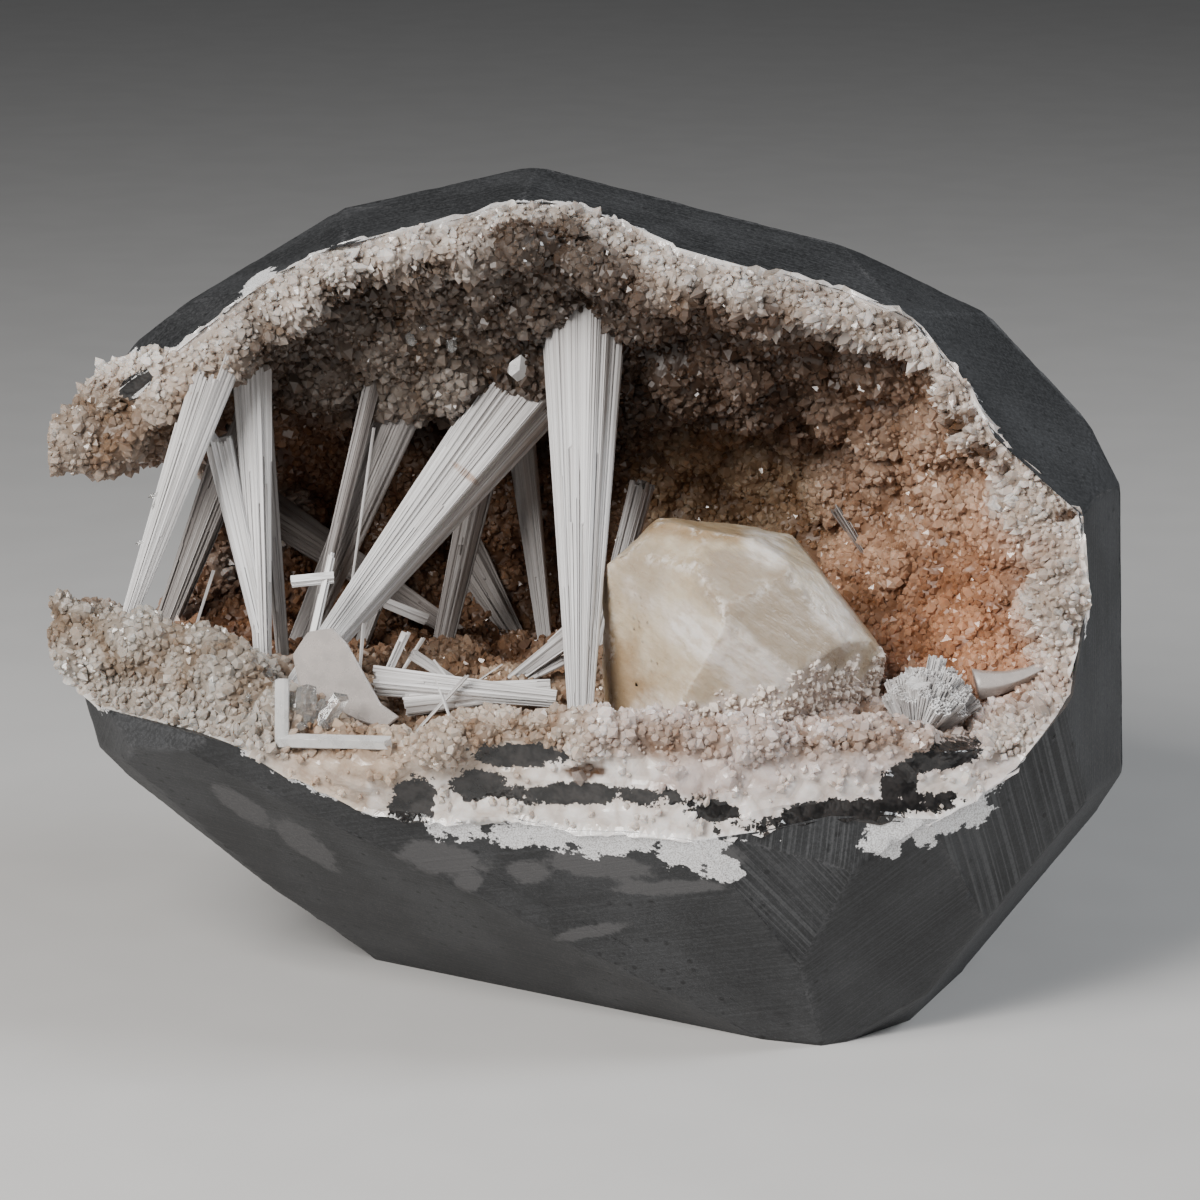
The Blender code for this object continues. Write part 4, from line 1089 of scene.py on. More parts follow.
# Piece, zone, then spacing, size, length and lean of each growth, in mm
GROWTHS = (
    ("druse_rim", 0, ((0.95, 1.35, 1.25, 0.45), (3.0, 1.7, 1.5, 0.5))),
    ("druse_ceiling", 1, ((1.15, 1.75, 0.75, 0.5), (3.6, 2.3, 0.8, 0.6))),
    ("druse_walls", 2, ((1.05, 1.6, 0.65, 0.5), (3.6, 2.0, 0.7, 0.6))),
    ("druse_floor", 3, ((1.1, 1.6, 0.75, 0.6), (3.6, 2.0, 0.8, 0.7))),
)


def growth_mesh(name, settings, carrier, growths, zone, seed):
    """Druse crystals on a zone of a carrier, in a few growths of their own size."""
    tree = group_once("druse crystals", build_druse_tree)
    meshes = []
    for spacing, size, length, lean in growths:
        meshes.append(grown_mesh(name, tree, carrier, {
            "Zone": zone, "Spacing": spacing * settings.druse.spacing, "Size": size * settings.druse.size,
            "Length": length, "Lean": lean, "Seed": seed + len(meshes), "Look": bpy.data.materials["druse"]}))
    return joined(name, meshes)


def build_druse(settings, bed):
    """Crystals on the rim, ceiling, walls and floor, each a piece of its own."""
    look = druse_material("druse", settings.druse)
    for name, zone, growths in GROWTHS:
        keep(name, growth_mesh(name, settings, bed, growths, zone, 20 + zone), look)


# Sprays

def build_bundle_tree(name):
    """A bundle of tapered four sided needles between two round ends, cut where it meets the crust."""
    tree, wiring, entry, leave = new_group(
        name, GEOMETRY_TREE,
        [("Base", GEOMETRY, None), ("Root", VECTOR, None), ("End", VECTOR, None),
         ("Root Radius", FLOAT, 0.002), ("End Radius", FLOAT, 0.004), ("Count", INTEGER, 100),
         ("Inner", FLOAT, 0.0),
         ("Needle Width", FLOAT, 0.0005), ("Joints", INTEGER, 6), ("Whiteness And Shade", FLOAT, 1.0),
         ("Stepping", FLOAT, 0.4), ("Slabs", FLOAT, 5.0), ("Crust", OBJECT, None), ("Sunk", FLOAT, SUNK),
         ("Seed", INTEGER, 1), ("Look", MATERIAL, None)],
        [("Needles", GEOMETRY)])

    def chance(low, high, salt, **inputs):
        return wiring.chance(low, high, wiring.plus(entry["Seed"], float(salt)), **inputs)

    def sideways(angle):
        return wiring.vector("ADD", wiring.scaled(side, wiring.math("COSINE", angle)),
                             wiring.scaled(deep, wiring.math("SINE", angle)))

    def along_edge(middle, radius):
        return wiring.vector("ADD", middle, wiring.scaled(outward, wiring.times(share, radius)))

    def room(toward, free):
        """How far a needle goes from its middle: to the crust and a little in, or as far as it is free."""
        ray = wiring.add("GeometryNodeRaycast", {
            "Target Geometry": crust, "Source Position": middle, "Ray Direction": toward,
            "Ray Length": wiring.times(length, RAY_REACH)})
        met = wiring.plus(ray.node.outputs["Hit Distance"], entry["Sunk"])
        inputs = {"Switch": ray, "False": free, "True": met}
        return wiring.add("GeometryNodeSwitch", inputs, input_type="FLOAT")

    # Where each needle stands in the bundle, and the flat slab it belongs to
    points = wiring.add("GeometryNodePoints", {"Count": entry["Count"]})
    index = wiring.add("GeometryNodeInputIndex")
    inner = wiring.times(entry["Inner"], entry["Inner"])
    outer = wiring.plus(wiring.times(entry["Inner"], 0.1), 1.0)
    place_in = wiring.over(wiring.plus(index, 0.5), entry["Count"])
    share = wiring.math("SQRT", wiring.span(place_in, 0.0, 1.0, inner, outer, "LINEAR"))
    turn = wiring.plus(wiring.times(index, GOLDEN_TURN), chance(-0.25, 0.25, 1))
    axis = wiring.vector("NORMALIZE", wiring.vector("SUBTRACT", entry["End"], entry["Root"]))
    side = wiring.vector("NORMALIZE", wiring.vector("CROSS_PRODUCT", axis, tuple(IN_AXIS)))
    deep = wiring.vector("CROSS_PRODUCT", axis, side)
    sector = wiring.over(2.0 * math.pi, entry["Slabs"])
    slab = wiring.math("FLOOR", wiring.over(wiring.plus(turn, entry["Seed"]), sector))
    facet = wiring.minus(wiring.times(wiring.plus(slab, 0.5), sector), entry["Seed"])
    flat = wiring.over(wiring.math("COSINE", wiring.times(sector, 0.5)),
                       wiring.math("COSINE", wiring.minus(turn, facet)))
    outward = wiring.scaled(sideways(turn), wiring.plus(wiring.times(flat, FLATNESS), 1.0 - FLATNESS))
    ring = wiring.math("FLOOR", wiring.times(share, 2.6))
    slab_of = wiring.plus(wiring.math("MODULO", slab, entry["Slabs"]), wiring.times(ring, 7.0))

    # Its line, and how far it goes each way
    root = along_edge(entry["Root"], entry["Root Radius"])
    reach = wiring.vector("SUBTRACT", along_edge(entry["End"], entry["End Radius"]), root)
    length = wiring.length(reach)
    way = wiring.vector("NORMALIZE", reach)
    half = wiring.times(length, 0.5)
    middle = wiring.vector("ADD", root, wiring.scaled(reach, 0.5))
    crust = wiring.add("GeometryNodeObjectInfo", {0: entry["Crust"]}, "Geometry", transform_space="ORIGINAL")
    stepping = wiring.times(wiring.span(share, 0.62, 0.95), entry["Stepping"])
    upper_cut = wiring.times(wiring.span(chance(0, 1, 2), 0.8, 1.0), stepping)
    slab_late = chance(0.0, 1.0, 31, ID=slab_of)
    late = wiring.plus(wiring.times(chance(0, 1, 3), 0.35), wiring.times(slab_late, 0.65))
    lower_cut = wiring.times(wiring.span(late, 0.5, 0.95), stepping)
    ragged = wiring.minus(half, wiring.times(chance(0, 0.05, 4), length))
    upper = wiring.minus(room(way, ragged), wiring.times(upper_cut, length))
    lower = wiring.minus(room(wiring.scaled(way, -1.0), half), wiring.times(lower_cut, length))
    start = wiring.vector("SUBTRACT", middle, wiring.scaled(way, lower))
    full = wiring.math("MAXIMUM", wiring.plus(upper, lower), wiring.times(length, 0.08))

    # Its shape and tone
    thick = wiring.times(entry["Needle Width"], chance(0.5, 0.9, 5))
    broad = wiring.times(entry["Needle Width"], chance(0.6, 1.9, 6))
    rolled = wiring.chance_vector((-0.1,) * 3, (0.1,) * 3, 12)
    across = wiring.vector("ADD", wiring.vector("CROSS_PRODUCT", way, sideways(facet)), rolled)
    facing = wiring.add(
        "FunctionNodeAxesToRotation", {0: way, 1: across}, primary_axis="Z", secondary_axis="X")
    foot = wiring.times(wiring.over(entry["Root Radius"], entry["End Radius"]), 0.5)
    needle = wiring.add("GeometryNodeMeshCone", {
        "Vertices": 4, "Side Segments": entry["Joints"], "Radius Top": 0.5, "Radius Bottom": foot,
        "Depth": 1.0}, fill_type="NGON")
    needle = wiring.add("GeometryNodeTransform", {"Geometry": needle, "Rotation": (0, 0, math.pi / 4)})
    spot = wiring.add("GeometryNodeInputPosition")
    needle = wiring.stored(needle, "fibre", spot, "FLOAT_VECTOR", "POINT")
    pale = wiring.span(chance(0.0, 1.0, 32, ID=slab_of), 0.0, 1.0, 0.72, 1.0)
    grown = wiring.add("GeometryNodeInstanceOnPoints", {
        "Points": wiring.add("GeometryNodeSetPosition", {"Geometry": points, "Position": start}),
        "Instance": needle, "Rotation": facing, "Scale": wiring.join(broad, thick, full)})
    toned = wiring.stored(grown, "needle_tone", chance(0, 1, 7))
    # How white each needle is, lowered for needles deep in the hollow partly as painted shade
    toned = wiring.stored(toned, "whiteness", wiring.times(entry["Whiteness And Shade"], pale))
    tree.links.new(wiring.finished(toned, entry["Look"]), leave["Needles"])
    return tree


def joined(name, meshes):
    """Several meshes as one, with their attributes."""
    objects = []
    for mesh in meshes:
        made = bpy.data.objects.new(name, mesh)
        bpy.context.scene.collection.objects.link(made)
        objects.append(made)
    first = objects[0]
    if len(objects) > 1:
        chosen = {"selected_objects": objects, "selected_editable_objects": objects}
        with bpy.context.temp_override(active_object=first, object=first, **chosen):
            bpy.ops.object.join()
    mesh = first.data
    bpy.data.objects.remove(first)
    return mesh


def laths_round(columns, rng):
    """Flat laths round a bundle: for each column its push outward, where the lath starts, and its tone."""
    laths = []
    while len(laths) < columns:
        wide = rng.choice((1, 1, 2, 2, 3, 4, 6))
        push = rng.uniform(-LATE_SINK, 0.04)
        late = rng.uniform(0.2, 0.85) if rng.random() < 0.42 else None
        tone = rng.random()
        for i in range(wide):
            groove = 0.02 if i == 0 else 0.0
            laths.append((push - groove, late, tone))
    return laths[:columns]


def fluted_core(bed_tree, whiteness, bundle):
    """The body of a bundle: flat slabs of laths, widening from the root, into the crust at both ends."""
    root, end, root_width, end_width, _count, seed = bundle
    rng = random.Random(seed)
    start = place(*root)
    reach = place(*end) - start
    axis = reach.normalized()
    side = axis.cross(IN_AXIS).normalized()
    deep = axis.cross(side)
    columns = int(end_width * CORE_COLUMNS)
    slabs = rng.choice((5, 6, 7))
    sector = 2.0 * math.pi / slabs
    roll = rng.uniform(0.0, sector)
    slab_white = [rng.uniform(0.62, 1.0) for _slab in range(slabs + 1)]
    bm = bmesh.new()
    fibre = bm.verts.layers.float_vector.new("fibre")
    tones = bm.verts.layers.float.new("needle_tone")
    whites_and_shade = bm.verts.layers.float.new("whiteness")
    lines = []
    for k, (push, late, tone) in enumerate(laths_round(columns, rng)):
        turn = 2.0 * math.pi * k / columns
        slab = int((turn + roll) / sector)
        off = (turn + roll) % sector - 0.5 * sector
        flat = FLATNESS * math.cos(0.5 * sector) / math.cos(off) + 1.0 - FLATNESS
        outward = side * math.cos(turn) + deep * math.sin(turn)
        low = start + outward * (0.5 * root_width * MM * (flat + push))
        high = start + reach + outward * (0.5 * end_width * MM * (flat + push))
        way = (high - low).normalized()
        length = (high - low).length
        middle = low.lerp(high, 0.5)
        free_end = 1.0 - 0.04 * tone
        top = bed_tree.ray_cast(middle, way, length * RAY_REACH)[3]
        bottom = bed_tree.ray_cast(middle, -way, length * RAY_REACH)[3]
        last = 0.5 + (top + SUNK) / length if top is not None else free_end
        first = 0.5 - (bottom + SUNK) / length if bottom is not None else 0.0
        step_row = 1 + int(late * (CORE_ROWS - 3)) if late else None
        line = []
        for row in range(CORE_ROWS):
            share = row / (CORE_ROWS - 1.0)
            sunken = outward * (-LATE_SINK * end_width * MM) if step_row and row <= step_row else Vector()
            if step_row and row == step_row + 1:
                share = (step_row + 0.06) / (CORE_ROWS - 1.0)
            vert = bm.verts.new(low.lerp(high, first + (last - first) * share) + sunken)
            vert[fibre] = Vector((k * 0.9, 0.0, share))
            vert[tones] = tone
            vert[whites_and_shade] = whiteness * slab_white[slab]
            line.append(vert)
        lines.append(line)
    for k, line in enumerate(lines):
        beside = lines[(k + 1) % columns]
        for row in range(CORE_ROWS - 1):
            bm.faces.new((line[row], beside[row], beside[row + 1], line[row + 1]))
    for row in (0, CORE_ROWS - 1):
        ring = [line[row] for line in lines]
        cap = bm.verts.new(sum((vert.co for vert in ring), Vector()) / columns)
        cap[whites_and_shade] = whiteness * 0.7
        cap[fibre] = Vector((0.5, 0.5, 0.5))
        for k, vert in enumerate(ring):
            bm.faces.new((vert, ring[(k + 1) % columns], cap))
    bmesh.ops.recalc_face_normals(bm, faces=bm.faces)
    return mesh_of("core", bm)


class BundleMaker:
    """Makes bundles of needles that stand in the crust.

    A thick bundle is a fluted body with laths on its outside, and a thin one is needles all through.
    """

    def __init__(self, settings, bed):
        self.spray = settings.spray
        self.bed = bed
        self.look = silk_material(settings.spray)
        self.tree = group_once("needle bundle", build_bundle_tree)
        self.carrier = bpy.data.objects.new("needle_carrier", bpy.data.meshes.new("needle_carrier"))
        bpy.context.scene.collection.objects.link(self.carrier)
        bm = bmesh.new()
        bm.from_mesh(bed.data)
        self.bed_tree = BVHTree.FromBMesh(bm)
        bm.free()

    def piece(self, name, whiteness, bundles, nodes=(), crowding=1.0):
        """Keep some bundles as one piece: root, end, root width, end width, count and seed of each.

        Needles are as wide as the room they have times the crowding, or as a lath where that is None.
        """
        meshes = []
        for bundle in bundles:
            root, end, root_width, end_width, count, seed = bundle
            thick = end_width >= THICK_BUNDLE
            width = self.spray.lath
            if thick:
                meshes.append(fluted_core(self.bed_tree, whiteness, bundle))
            elif crowding:
                width = end_width * MM / math.sqrt(count) * self.spray.crowding * crowding
            meshes.append(grown_mesh("needles", self.tree, self.carrier, {
                "Root": tuple(place(*root)), "End": tuple(place(*end)),
                "Root Radius": root_width * 0.5 * MM, "End Radius": end_width * 0.5 * MM, "Count": count,
                "Inner": LATHS_FROM if thick else 0.0, "Needle Width": width, "Joints": 6 if thick else 3,
                "Whiteness And Shade": whiteness, "Stepping": self.spray.stepping, "Crust": self.bed, "Seed": seed,
                "Look": self.look}))
        keep(name, joined(name, meshes), self.look, nodes)


def mound_tufts():
    """Bundles that fan out from the mound's foot to its round outside."""
    rng = random.Random(77)
    middle = Vector(MOUND_MIDDLE)
    foot = Vector(MOUND_FOOT)
    tufts = []
    for i in range(MOUND_TUFTS):
        height = 1.0 - 1.25 * (i + 0.5) / MOUND_TUFTS
        around = GOLDEN_TURN * i
        level = math.sqrt(1.0 - height * height)
        out = Vector((level * math.cos(around), level * math.sin(around), height))
        if out.y > 0.55:
            continue
        end = middle + out * MOUND_REACH * rng.uniform(0.7, 1.06)
        root = foot.lerp(middle, 0.3) + out * 1.2
        tufts.append((tuple(root), tuple(end), 1.6, rng.uniform(3.4, 5.2), 76, 100 + i))
    return tufts


def build_sprays(settings, bed):
    """Every bundle of needles, each in place of its own solid."""
    maker = BundleMaker(settings, bed)
    for node, whiteness, bundles in SPRAYS:
        maker.piece(node + "_needles", whiteness, bundles, [node], None if node in FINE_FANS else 1.0)
    maker.piece("fibrous_mound_needles", 1.0, mound_tufts(), ["fibrous_mound"], 0.5)
    loose = [(root, end, width * 0.7, width, 2, seed) for root, end, width, seed in LOOSE_NEEDLES]
    maker.piece("loose_needles", 0.7, loose)
    bpy.data.objects.remove(maker.carrier)


# Calcite and the clear crystals

def build_calcite(settings):
    bm = with_whole_flats("calcite")
    bmesh.ops.triangulate(bm, faces=bm.faces)
    refine(bm, lambda face: CALCITE_EDGE)
    bm.normal_update()
    bm.verts.index_update()
    worn = [0.0] * len(bm.verts)
    sharp_points = []
    for vert in bm.verts:
        if max(vert.link_faces[0].normal.angle(face.normal, 0.0) for face in vert.link_faces) > 0.2:
            sharp_points.append(vert)
    tree = nearest_of(sharp_points)
    moves = []
    for vert in bm.verts:
        point = vert.co / MM
        edge = max(0.0, 1.0 - tree.find(vert.co)[2] / (2.2 * MM))
        chip = max(0.0, noise.noise(point / 3.0) + 0.15)
        terrace = math.floor(3.0 * noise.noise(point / 9.0 + Vector((2.0, 8.0, 1.0)))) * 0.12
        inward = 0.15 + 0.55 * edge * chip + 0.12 * edge - terrace + 0.08 * noise.noise(point / 1.6)
        worn[vert.index] = edge * min(1.0, chip * 2.5)
        moves.append(vert.normal * -inward * MM)
    for vert, move in zip(bm.verts, moves):
        vert.co += move
    for face in bm.faces:
        face.smooth = True
    bm.normal_update()
    ways = [tuple(vert.normal * 0.7 - IN_AXIS * 0.4) for vert in bm.verts]
    local = mouth_frame(np.array([vert.co for vert in bm.verts]))
    ragged = np.array([noise.noise(vert.co / (4.0 * MM)) for vert in bm.verts])
    line = FROST_LINE + FROST_RISE * (local[:, 0] - 12.0)
    frosted = smooth((line - local[:, 2] + 5.0 * ragged) / 5.0)
    fronts = [1 if face.normal.dot(IN_AXIS) < 0.4 else 0 for face in bm.faces]
    mesh = mesh_of("calcite_crystal", bm)
    tints = np.tile(np.array(rgba(settings.calcite.frost)), (len(worn), 1))
    tints[:, :3] *= 1.0 + 0.18 * ragged[:, None]
    store(mesh, "POINT", "FLOAT", wear=worn, grow=frosted)
    store(mesh, "POINT", "FLOAT_COLOR", tint=tints)
    store(mesh, "POINT", "FLOAT_VECTOR", aim=ways)
    store(mesh, "FACE", "INT", zone=fronts)
    mesh.set_sharp_from_angle(angle=math.radians(32))
    made = keep("calcite_crystal", mesh, calcite_material(settings.calcite), ["calcite"])
    frost = growth_mesh("calcite_frost", settings, made, FROST_GROWTHS, 1, 51)
    keep("calcite_frost", frost, bpy.data.materials["druse"])


def bevelled(node, width):
    """A CAD crystal with its edges taken off."""
    bm = with_whole_flats(node)
    bmesh.ops.bevel(
        bm, geom=list(bm.edges), offset=width * MM, segments=1, affect="EDGES", clamp_overlap=True)
    bmesh.ops.triangulate(bm, faces=bm.faces)
    return mesh_of(node, bm)


def curved_blade(node, width, bend, thinned):
    """A crystal plate that bends up and thins toward its right end; bend in mm, thinned as a share."""
    mesh = bevelled(node, width)
    bm = bmesh.new()
    bm.from_mesh(mesh)
    refine(bm, lambda face: BLADE_EDGE)
    bm.verts.index_update()
    local = mouth_frame(np.array([vert.co for vert in bm.verts]))
    low = local[:, 0].min()
    wide = local[:, 0].max() - low
    slope, level = np.polyfit(local[:, 0], local[:, 2], 1)
    for vert, (x, depth, z) in zip(bm.verts, local):
        share = (x - low) / wide
        off = z - (slope * x + level)
        kept = 1.0 - thinned * share
        vert.co += UP_AXIS * ((off * kept - off + bend * (share * share - share)) * MM)
    for face in bm.faces:
        face.smooth = True
    made = mesh_of(node, bm)
    made.set_sharp_from_angle(angle=math.radians(35))
    return made


def double_ended(bm, middle, way, length, width):
    """Add one six sided crystal with a point at both ends. Mouth frame, mm."""
    along = (X_AXIS * way[0] + IN_AXIS * way[1] + UP_AXIS * way[2]).normalized()
    turn = Vector((0, 0, 1)).rotation_difference(along).to_matrix().to_4x4()
    made = bmesh.ops.create_cone(
        bm, segments=6, cap_ends=True, radius1=width * 0.5 * MM, radius2=width * 0.46 * MM,
        depth=length * 0.6 * MM)
    ends = {face for vert in made["verts"] for face in vert.link_faces if len(face.verts) == 6}
    for face in ends:
        out = 1.0 if face.calc_center_median().z > 0 else -1.0
        tip = bmesh.ops.poke(bm, faces=[face])["verts"][0]
        tip.co.z += out * length * 0.2 * MM
        made["verts"].append(tip)
    bmesh.ops.rotate(bm, verts=made["verts"], cent=(0, 0, 0), matrix=turn)
    bmesh.ops.translate(bm, verts=made["verts"], vec=place(*middle))


def build_clear(settings):
    clear = settings.clear
    look = clear_material("clear crystal", (0.97, 0.97, 0.96), 0.9, 0.04, clear.colour, clear.density)
    keep("clear_cluster_points", bevelled("clear_cluster", 0.12), look, ["clear_cluster"])
    milky = clear_material("milky prism", clear.milky, 0.35, 0.15, clear.colour, clear.density)
    keep("prism_hanging_points", bevelled("prism_hanging", 0.12), milky, ["prism_hanging"])
    keep("front_rod_prism", bevelled("front_rod", 0.3), milky, ["front_rod"])
    bm = bmesh.new()
    for middle, way, length, width in SMALL_CRYSTALS:
        double_ended(bm, middle, way, length, width)
    keep("small_crystals", mesh_of("small_crystals", bm), look)
    cloudy = clear_material("cloudy blade", clear.blade, 0.25, 0.25, clear.blade, clear.blade_density)
    keep("blade_crystal_plate", bevelled("blade_crystal", 0.3), cloudy, ["blade_crystal"])
    blade = curved_blade("blade_right", 0.25, 5.0, 0.6)
    keep("blade_right_plate", blade, cloudy, ["blade_right"])


# Stage

def area_light(name, toward, distance, size, power, colour):
    """A square light that shines at the mouth from a direction."""
    data = bpy.data.lights.new(name, "AREA")
    data.size = size
    data.energy = power
    data.color = colour
    made = bpy.data.objects.new(name, data)
    made.location = MOUTH * MM + toward.normalized() * distance
    made.rotation_mode = "QUATERNION"
    made.rotation_quaternion = toward.to_track_quat("Z", "Y")
    bpy.context.scene.collection.objects.link(made)


def build_stage(settings):
    stage = settings.stage
    bm = bmesh.new()
    bmesh.ops.create_grid(bm, x_segments=2, y_segments=2, size=3.5)
    floor = bpy.data.objects.new("floor", mesh_of("floor", bm))
    bpy.context.scene.collection.objects.link(floor)
    look, wiring = new_material("floor")
    grain = wiring.noise(object_point(wiring), 40.0, 1.0)
    pale = wiring.blend(wiring.span(grain, 0.3, 0.7), stage.floor, [c * 0.97 for c in stage.floor])
    surface(wiring, {"Base Color": pale, "Roughness": 0.7})
    floor.data.materials.append(look)
    area_light("key", Vector((-0.55, -0.72, 0.62)), 0.9, 0.45, stage.key_power, (1.0, 0.98, 0.95))
    area_light("edge", Vector((0.9, -0.15, 0.75)), 1.0, 0.35, stage.edge_power, (0.92, 0.96, 1.0))
    area_light("low", Vector((0.1, -1.0, 0.15)), 1.2, 0.6, stage.low_power, (1.0, 0.97, 0.94))
    world = bpy.data.worlds.new("studio")
    world.use_nodes = True
    background = world.node_tree.nodes["Background"]
    background.inputs["Color"].default_value = (0.85, 0.88, 0.92, 1.0)
    background.inputs["Strength"].default_value = stage.world_strength
    bpy.context.scene.world = world
    camera = bpy.data.cameras.new("camera")
    camera.lens = VIEW_LENS
    camera.sensor_width = SENSOR
    camera.clip_start = 0.01
    camera.clip_end = 20.0
    made = bpy.data.objects.new("camera", camera)
    made.location = MOUTH * MM - IN_AXIS * VIEW_DISTANCE
    made.rotation_mode = "QUATERNION"
    made.rotation_quaternion = IN_AXIS.to_track_quat("-Z", "Y")
    bpy.context.scene.collection.objects.link(made)
    bpy.context.scene.camera = made


# Settings

def colour_setting(name, description, default):
    return FloatVectorProperty(
        name=name, description=description, default=default, size=3, min=0.0, max=1.0, subtype="COLOR")


def length_setting(name, description, default, low, high):
    return FloatProperty(
        name=name, description=description, default=default, min=low, max=high, subtype="DISTANCE",
        unit="LENGTH")


def share_setting(name, description, default, high=None, unit="NONE"):
    """A number from 0, up to high where that is given."""
    limits = {} if high is None else {"max": high}
    return FloatProperty(name=name, description=description, default=default, min=0.0, unit=unit, **limits)


class GeodeStoneSettings(bpy.types.PropertyGroup):
    dark: colour_setting("Dark stone", "Basalt in its darker clouds", (0.012, 0.0125, 0.0135))
    light: colour_setting("Light stone", "Basalt in its lighter clouds", (0.030, 0.031, 0.033))
    fleck: colour_setting("Grain", "Fine mineral grain of the basalt", (0.016, 0.0165, 0.0175))
    # Painted shade in small pits
    pit: colour_setting("Pit", "Small pits of the basalt", (0.004, 0.004, 0.0045))
    scratch: colour_setting("Saw line", "Paler lines of the saw", (0.075, 0.077, 0.08))
    worn: colour_setting("Worn edge", "Basalt on its rubbed edges", (0.10, 0.10, 0.105))
    vein: colour_setting("Pale mineral", "Grey blobs and veins", (0.085, 0.083, 0.085))
    white: colour_setting("White patch", "White mineral cut by the saw", (0.84, 0.84, 0.85))
    white_shade: colour_setting("White patch shade", "Darker grain of the white mineral", (0.48, 0.465, 0.46))


class GeodeDruseSettings(bpy.types.PropertyGroup):
    spacing: length_setting("Spacing", "Distance between crystals", 0.001, 0.0006, 0.004)
    size: length_setting("Crystal size", "Width of a crystal", 0.001, 0.0004, 0.004)
    rim: colour_setting("Rim", "White crust round the mouth", (0.86, 0.83, 0.81))
    # Darker crystals at random; on the bed between crystals the same colour is painted shade
    shade: colour_setting("Shade", "Darker crystals, as a share of their colour", (0.64, 0.58, 0.52))
    milk: colour_setting("Milk", "Milky growth on the crystals", (0.16, 0.15, 0.14))
    hole: colour_setting("Hollow", "Brown hollows in the crust", (0.10, 0.055, 0.03))
    # Painted shade: how far the gaps between lumps of the crust are darkened
    gap: colour_setting("Gap", "How far the gaps between lumps darken", (0.60, 0.70, 0.78))
    island: colour_setting("Dark island", "Bare basalt inside the crust", (0.012, 0.0115, 0.0115))
    island_grain: colour_setting("Dark island grain", "Grain of the bare basalt", (0.034, 0.031, 0.030))


class GeodeSpraySettings(bpy.types.PropertyGroup):
    silk: colour_setting("Silk", "Front needles", (0.94, 0.94, 0.945))
    # Partly the grey of needles deep in the hollow, partly painted shade there
    back: colour_setting("Back", "Needles deep in the hollow", (0.27, 0.24, 0.225))
    # Also used for the painted shade at the upper ends of the sprays
    streak: colour_setting("Streak", "Darker streaks, as a share of the colour", (0.70, 0.68, 0.67))
    rust: colour_setting("Rust", "Rust mark on the main spray", (0.35, 0.16, 0.06))
    crowding: share_setting("Crowding", "Needle width against the room it has", 1.5, 2.5)
    lath: length_setting("Lath width", "Width of a lath on a thick bundle", 0.00045, 0.0001, 0.002)
    stepping: share_setting("Stepping", "How far the outer needles stop short", 0.5, 1.0)


class GeodeCalciteSettings(bpy.types.PropertyGroup):
    body: colour_setting("Body", "Tan of the calcite", (0.47, 0.375, 0.255))
    pale: colour_setting("Pale", "Paler clouds of the calcite", (0.57, 0.485, 0.37))
    # Painted shade on the smooth front plane
    plane: colour_setting("Plane", "The smooth front plane", (0.37, 0.305, 0.24))
    band: colour_setting("Band", "White band and chips", (0.78, 0.73, 0.68))
    # Also painted shade in the thin band along the top edge
    brown: colour_setting("Brown", "Browner left side", (0.33, 0.225, 0.125))
    shade: colour_setting("Shade", "Streaks, as a share of the colour", (0.74, 0.66, 0.56))
    frost: colour_setting("Frost", "Small crystals on its foot", (0.76, 0.68, 0.65))


class GeodeClearSettings(bpy.types.PropertyGroup):
    colour: colour_setting("Clear", "Tint of the clear crystals", (0.92, 0.90, 0.88))
    density: share_setting("Absorption", "Absorption of the clear crystals", 25.0)
    milky: colour_setting("Milky", "Tint of the milky prisms", (0.82, 0.81, 0.80))
    blade: colour_setting("Blade", "Tint of the cloudy blades", (0.56, 0.51, 0.48))
    blade_density: share_setting("Blade absorption", "Absorption of the cloudy blades", 120.0)


class GeodeStageSettings(bpy.types.PropertyGroup):
    floor: colour_setting("Floor", "Pale studio floor", (0.60, 0.59, 0.58))
    key_power: share_setting("Key", "Power of the key light", 13.5, unit="POWER")
    edge_power: share_setting("Edge", "Power of the edge light", 6.0, unit="POWER")
    low_power: share_setting("Low", "Power of the low light", 0.6, unit="POWER")
    world_strength: share_setting("World", "Strength of the world", 0.07)


class GeodeSettings(bpy.types.PropertyGroup):
    stone: PointerProperty(type=GeodeStoneSettings)
    druse: PointerProperty(type=GeodeDruseSettings)
    spray: PointerProperty(type=GeodeSpraySettings)
    calcite: PointerProperty(type=GeodeCalciteSettings)
    clear: PointerProperty(type=GeodeClearSettings)
    stage: PointerProperty(type=GeodeStageSettings)


# Operators

class GEODE_OT_basalt(bpy.types.Operator):
    """Dress the sawn basalt block"""
    bl_idname = "geode.basalt"
    bl_label = "Basalt"

    def execute(self, context):
        build_basalt(context.scene.geode)
        return {"FINISHED"}


class GEODE_OT_crust(bpy.types.Operator):
    """Make the crust and grow crystals on it"""
    bl_idname = "geode.crust"
    bl_label = "Crust"

    def execute(self, context):
        build_druse(context.scene.geode, build_bed(context.scene.geode))
        return {"FINISHED"}


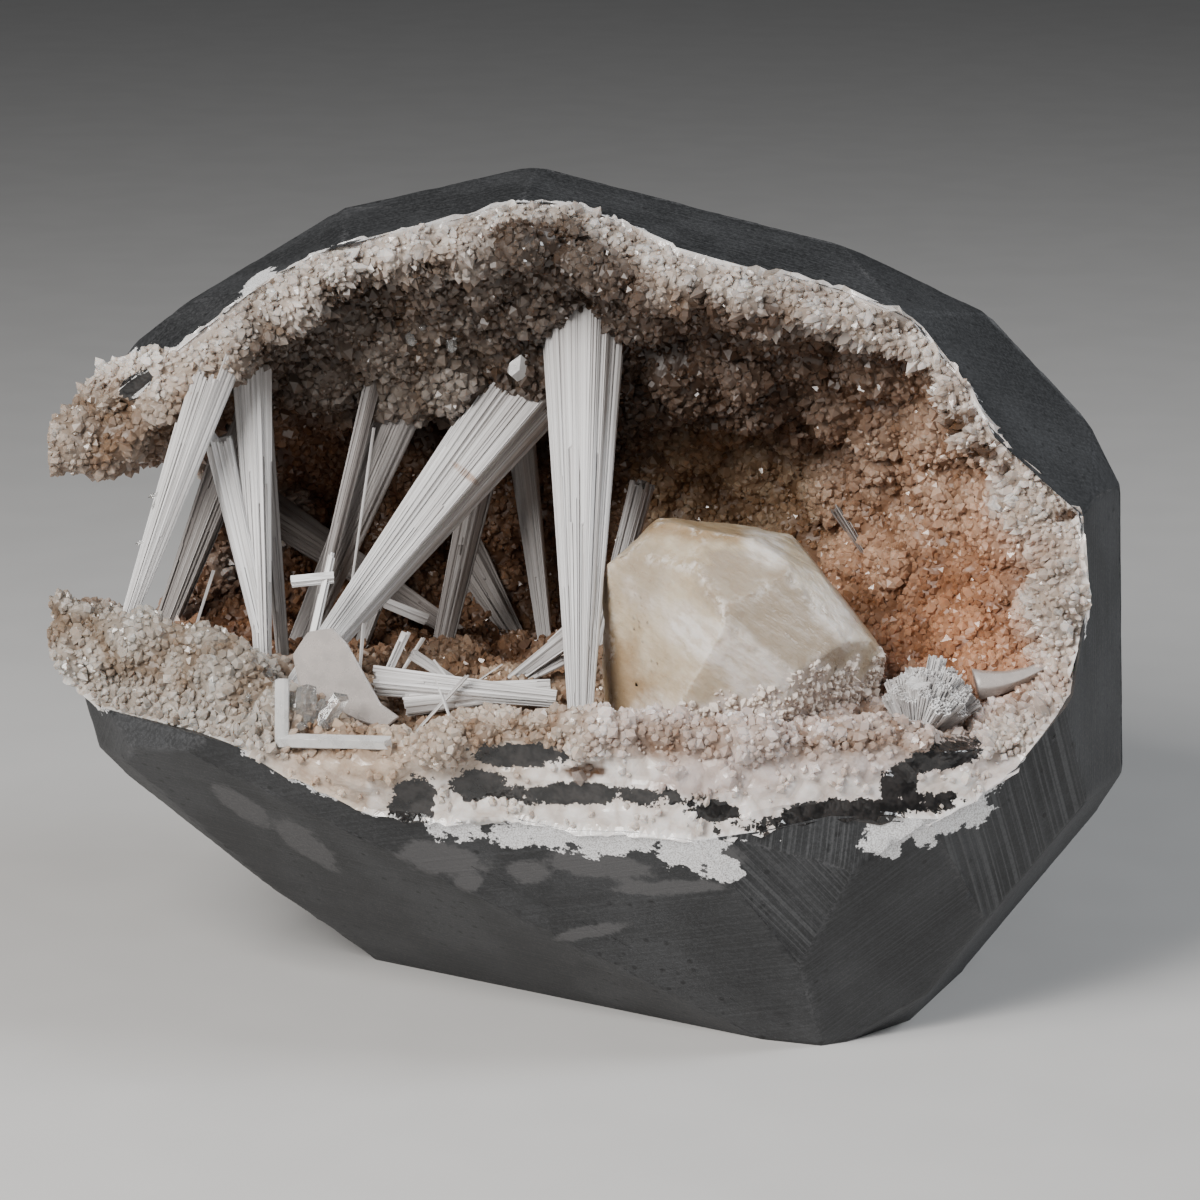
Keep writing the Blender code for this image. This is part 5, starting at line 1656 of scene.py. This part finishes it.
class GEODE_OT_sprays(bpy.types.Operator):
    """Grow the sprays of needles"""
    bl_idname = "geode.sprays"
    bl_label = "Sprays"

    def execute(self, context):
        bed = bpy.data.objects["crust_bed"]
        build_sprays(context.scene.geode, bed)
        return {"FINISHED"}


class GEODE_OT_calcite(bpy.types.Operator):
    """Make the large calcite"""
    bl_idname = "geode.calcite"
    bl_label = "Calcite"

    def execute(self, context):
        build_calcite(context.scene.geode)
        return {"FINISHED"}


class GEODE_OT_clear(bpy.types.Operator):
    """Make the clear crystals and the blades"""
    bl_idname = "geode.clear"
    bl_label = "Clear crystals"

    def execute(self, context):
        build_clear(context.scene.geode)
        return {"FINISHED"}


class GEODE_OT_stage(bpy.types.Operator):
    """Set the floor, lights and camera"""
    bl_idname = "geode.stage"
    bl_label = "Stage"

    def execute(self, context):
        build_stage(context.scene.geode)
        return {"FINISHED"}


class GEODE_PT_panel(bpy.types.Panel):
    """The geode's pieces in the sidebar"""
    bl_label = "Scolecite geode"
    bl_idname = "GEODE_PT_panel"
    bl_space_type = "VIEW_3D"
    bl_region_type = "UI"
    bl_category = "Geode"

    def draw(self, context):
        for operator in OPERATORS:
            self.layout.operator(operator.bl_idname)


SETTINGS = (
    GeodeStoneSettings, GeodeDruseSettings, GeodeSpraySettings, GeodeCalciteSettings, GeodeClearSettings,
    GeodeStageSettings, GeodeSettings,
)
OPERATORS = (
    GEODE_OT_basalt, GEODE_OT_crust, GEODE_OT_sprays, GEODE_OT_calcite, GEODE_OT_clear, GEODE_OT_stage,
)


def register():
    for item in (*SETTINGS, *OPERATORS, GEODE_PT_panel):
        bpy.utils.register_class(item)
    bpy.types.Scene.geode = PointerProperty(type=GeodeSettings)


def unregister():
    del bpy.types.Scene.geode
    for item in reversed((*SETTINGS, *OPERATORS, GEODE_PT_panel)):
        bpy.utils.unregister_class(item)


def main():
    register()
    bpy.ops.geode.basalt()
    bpy.ops.geode.crust()
    bpy.ops.geode.sprays()
    bpy.ops.geode.calcite()
    bpy.ops.geode.clear()
    bpy.ops.geode.stage()


if __name__ == "__main__":
    main()
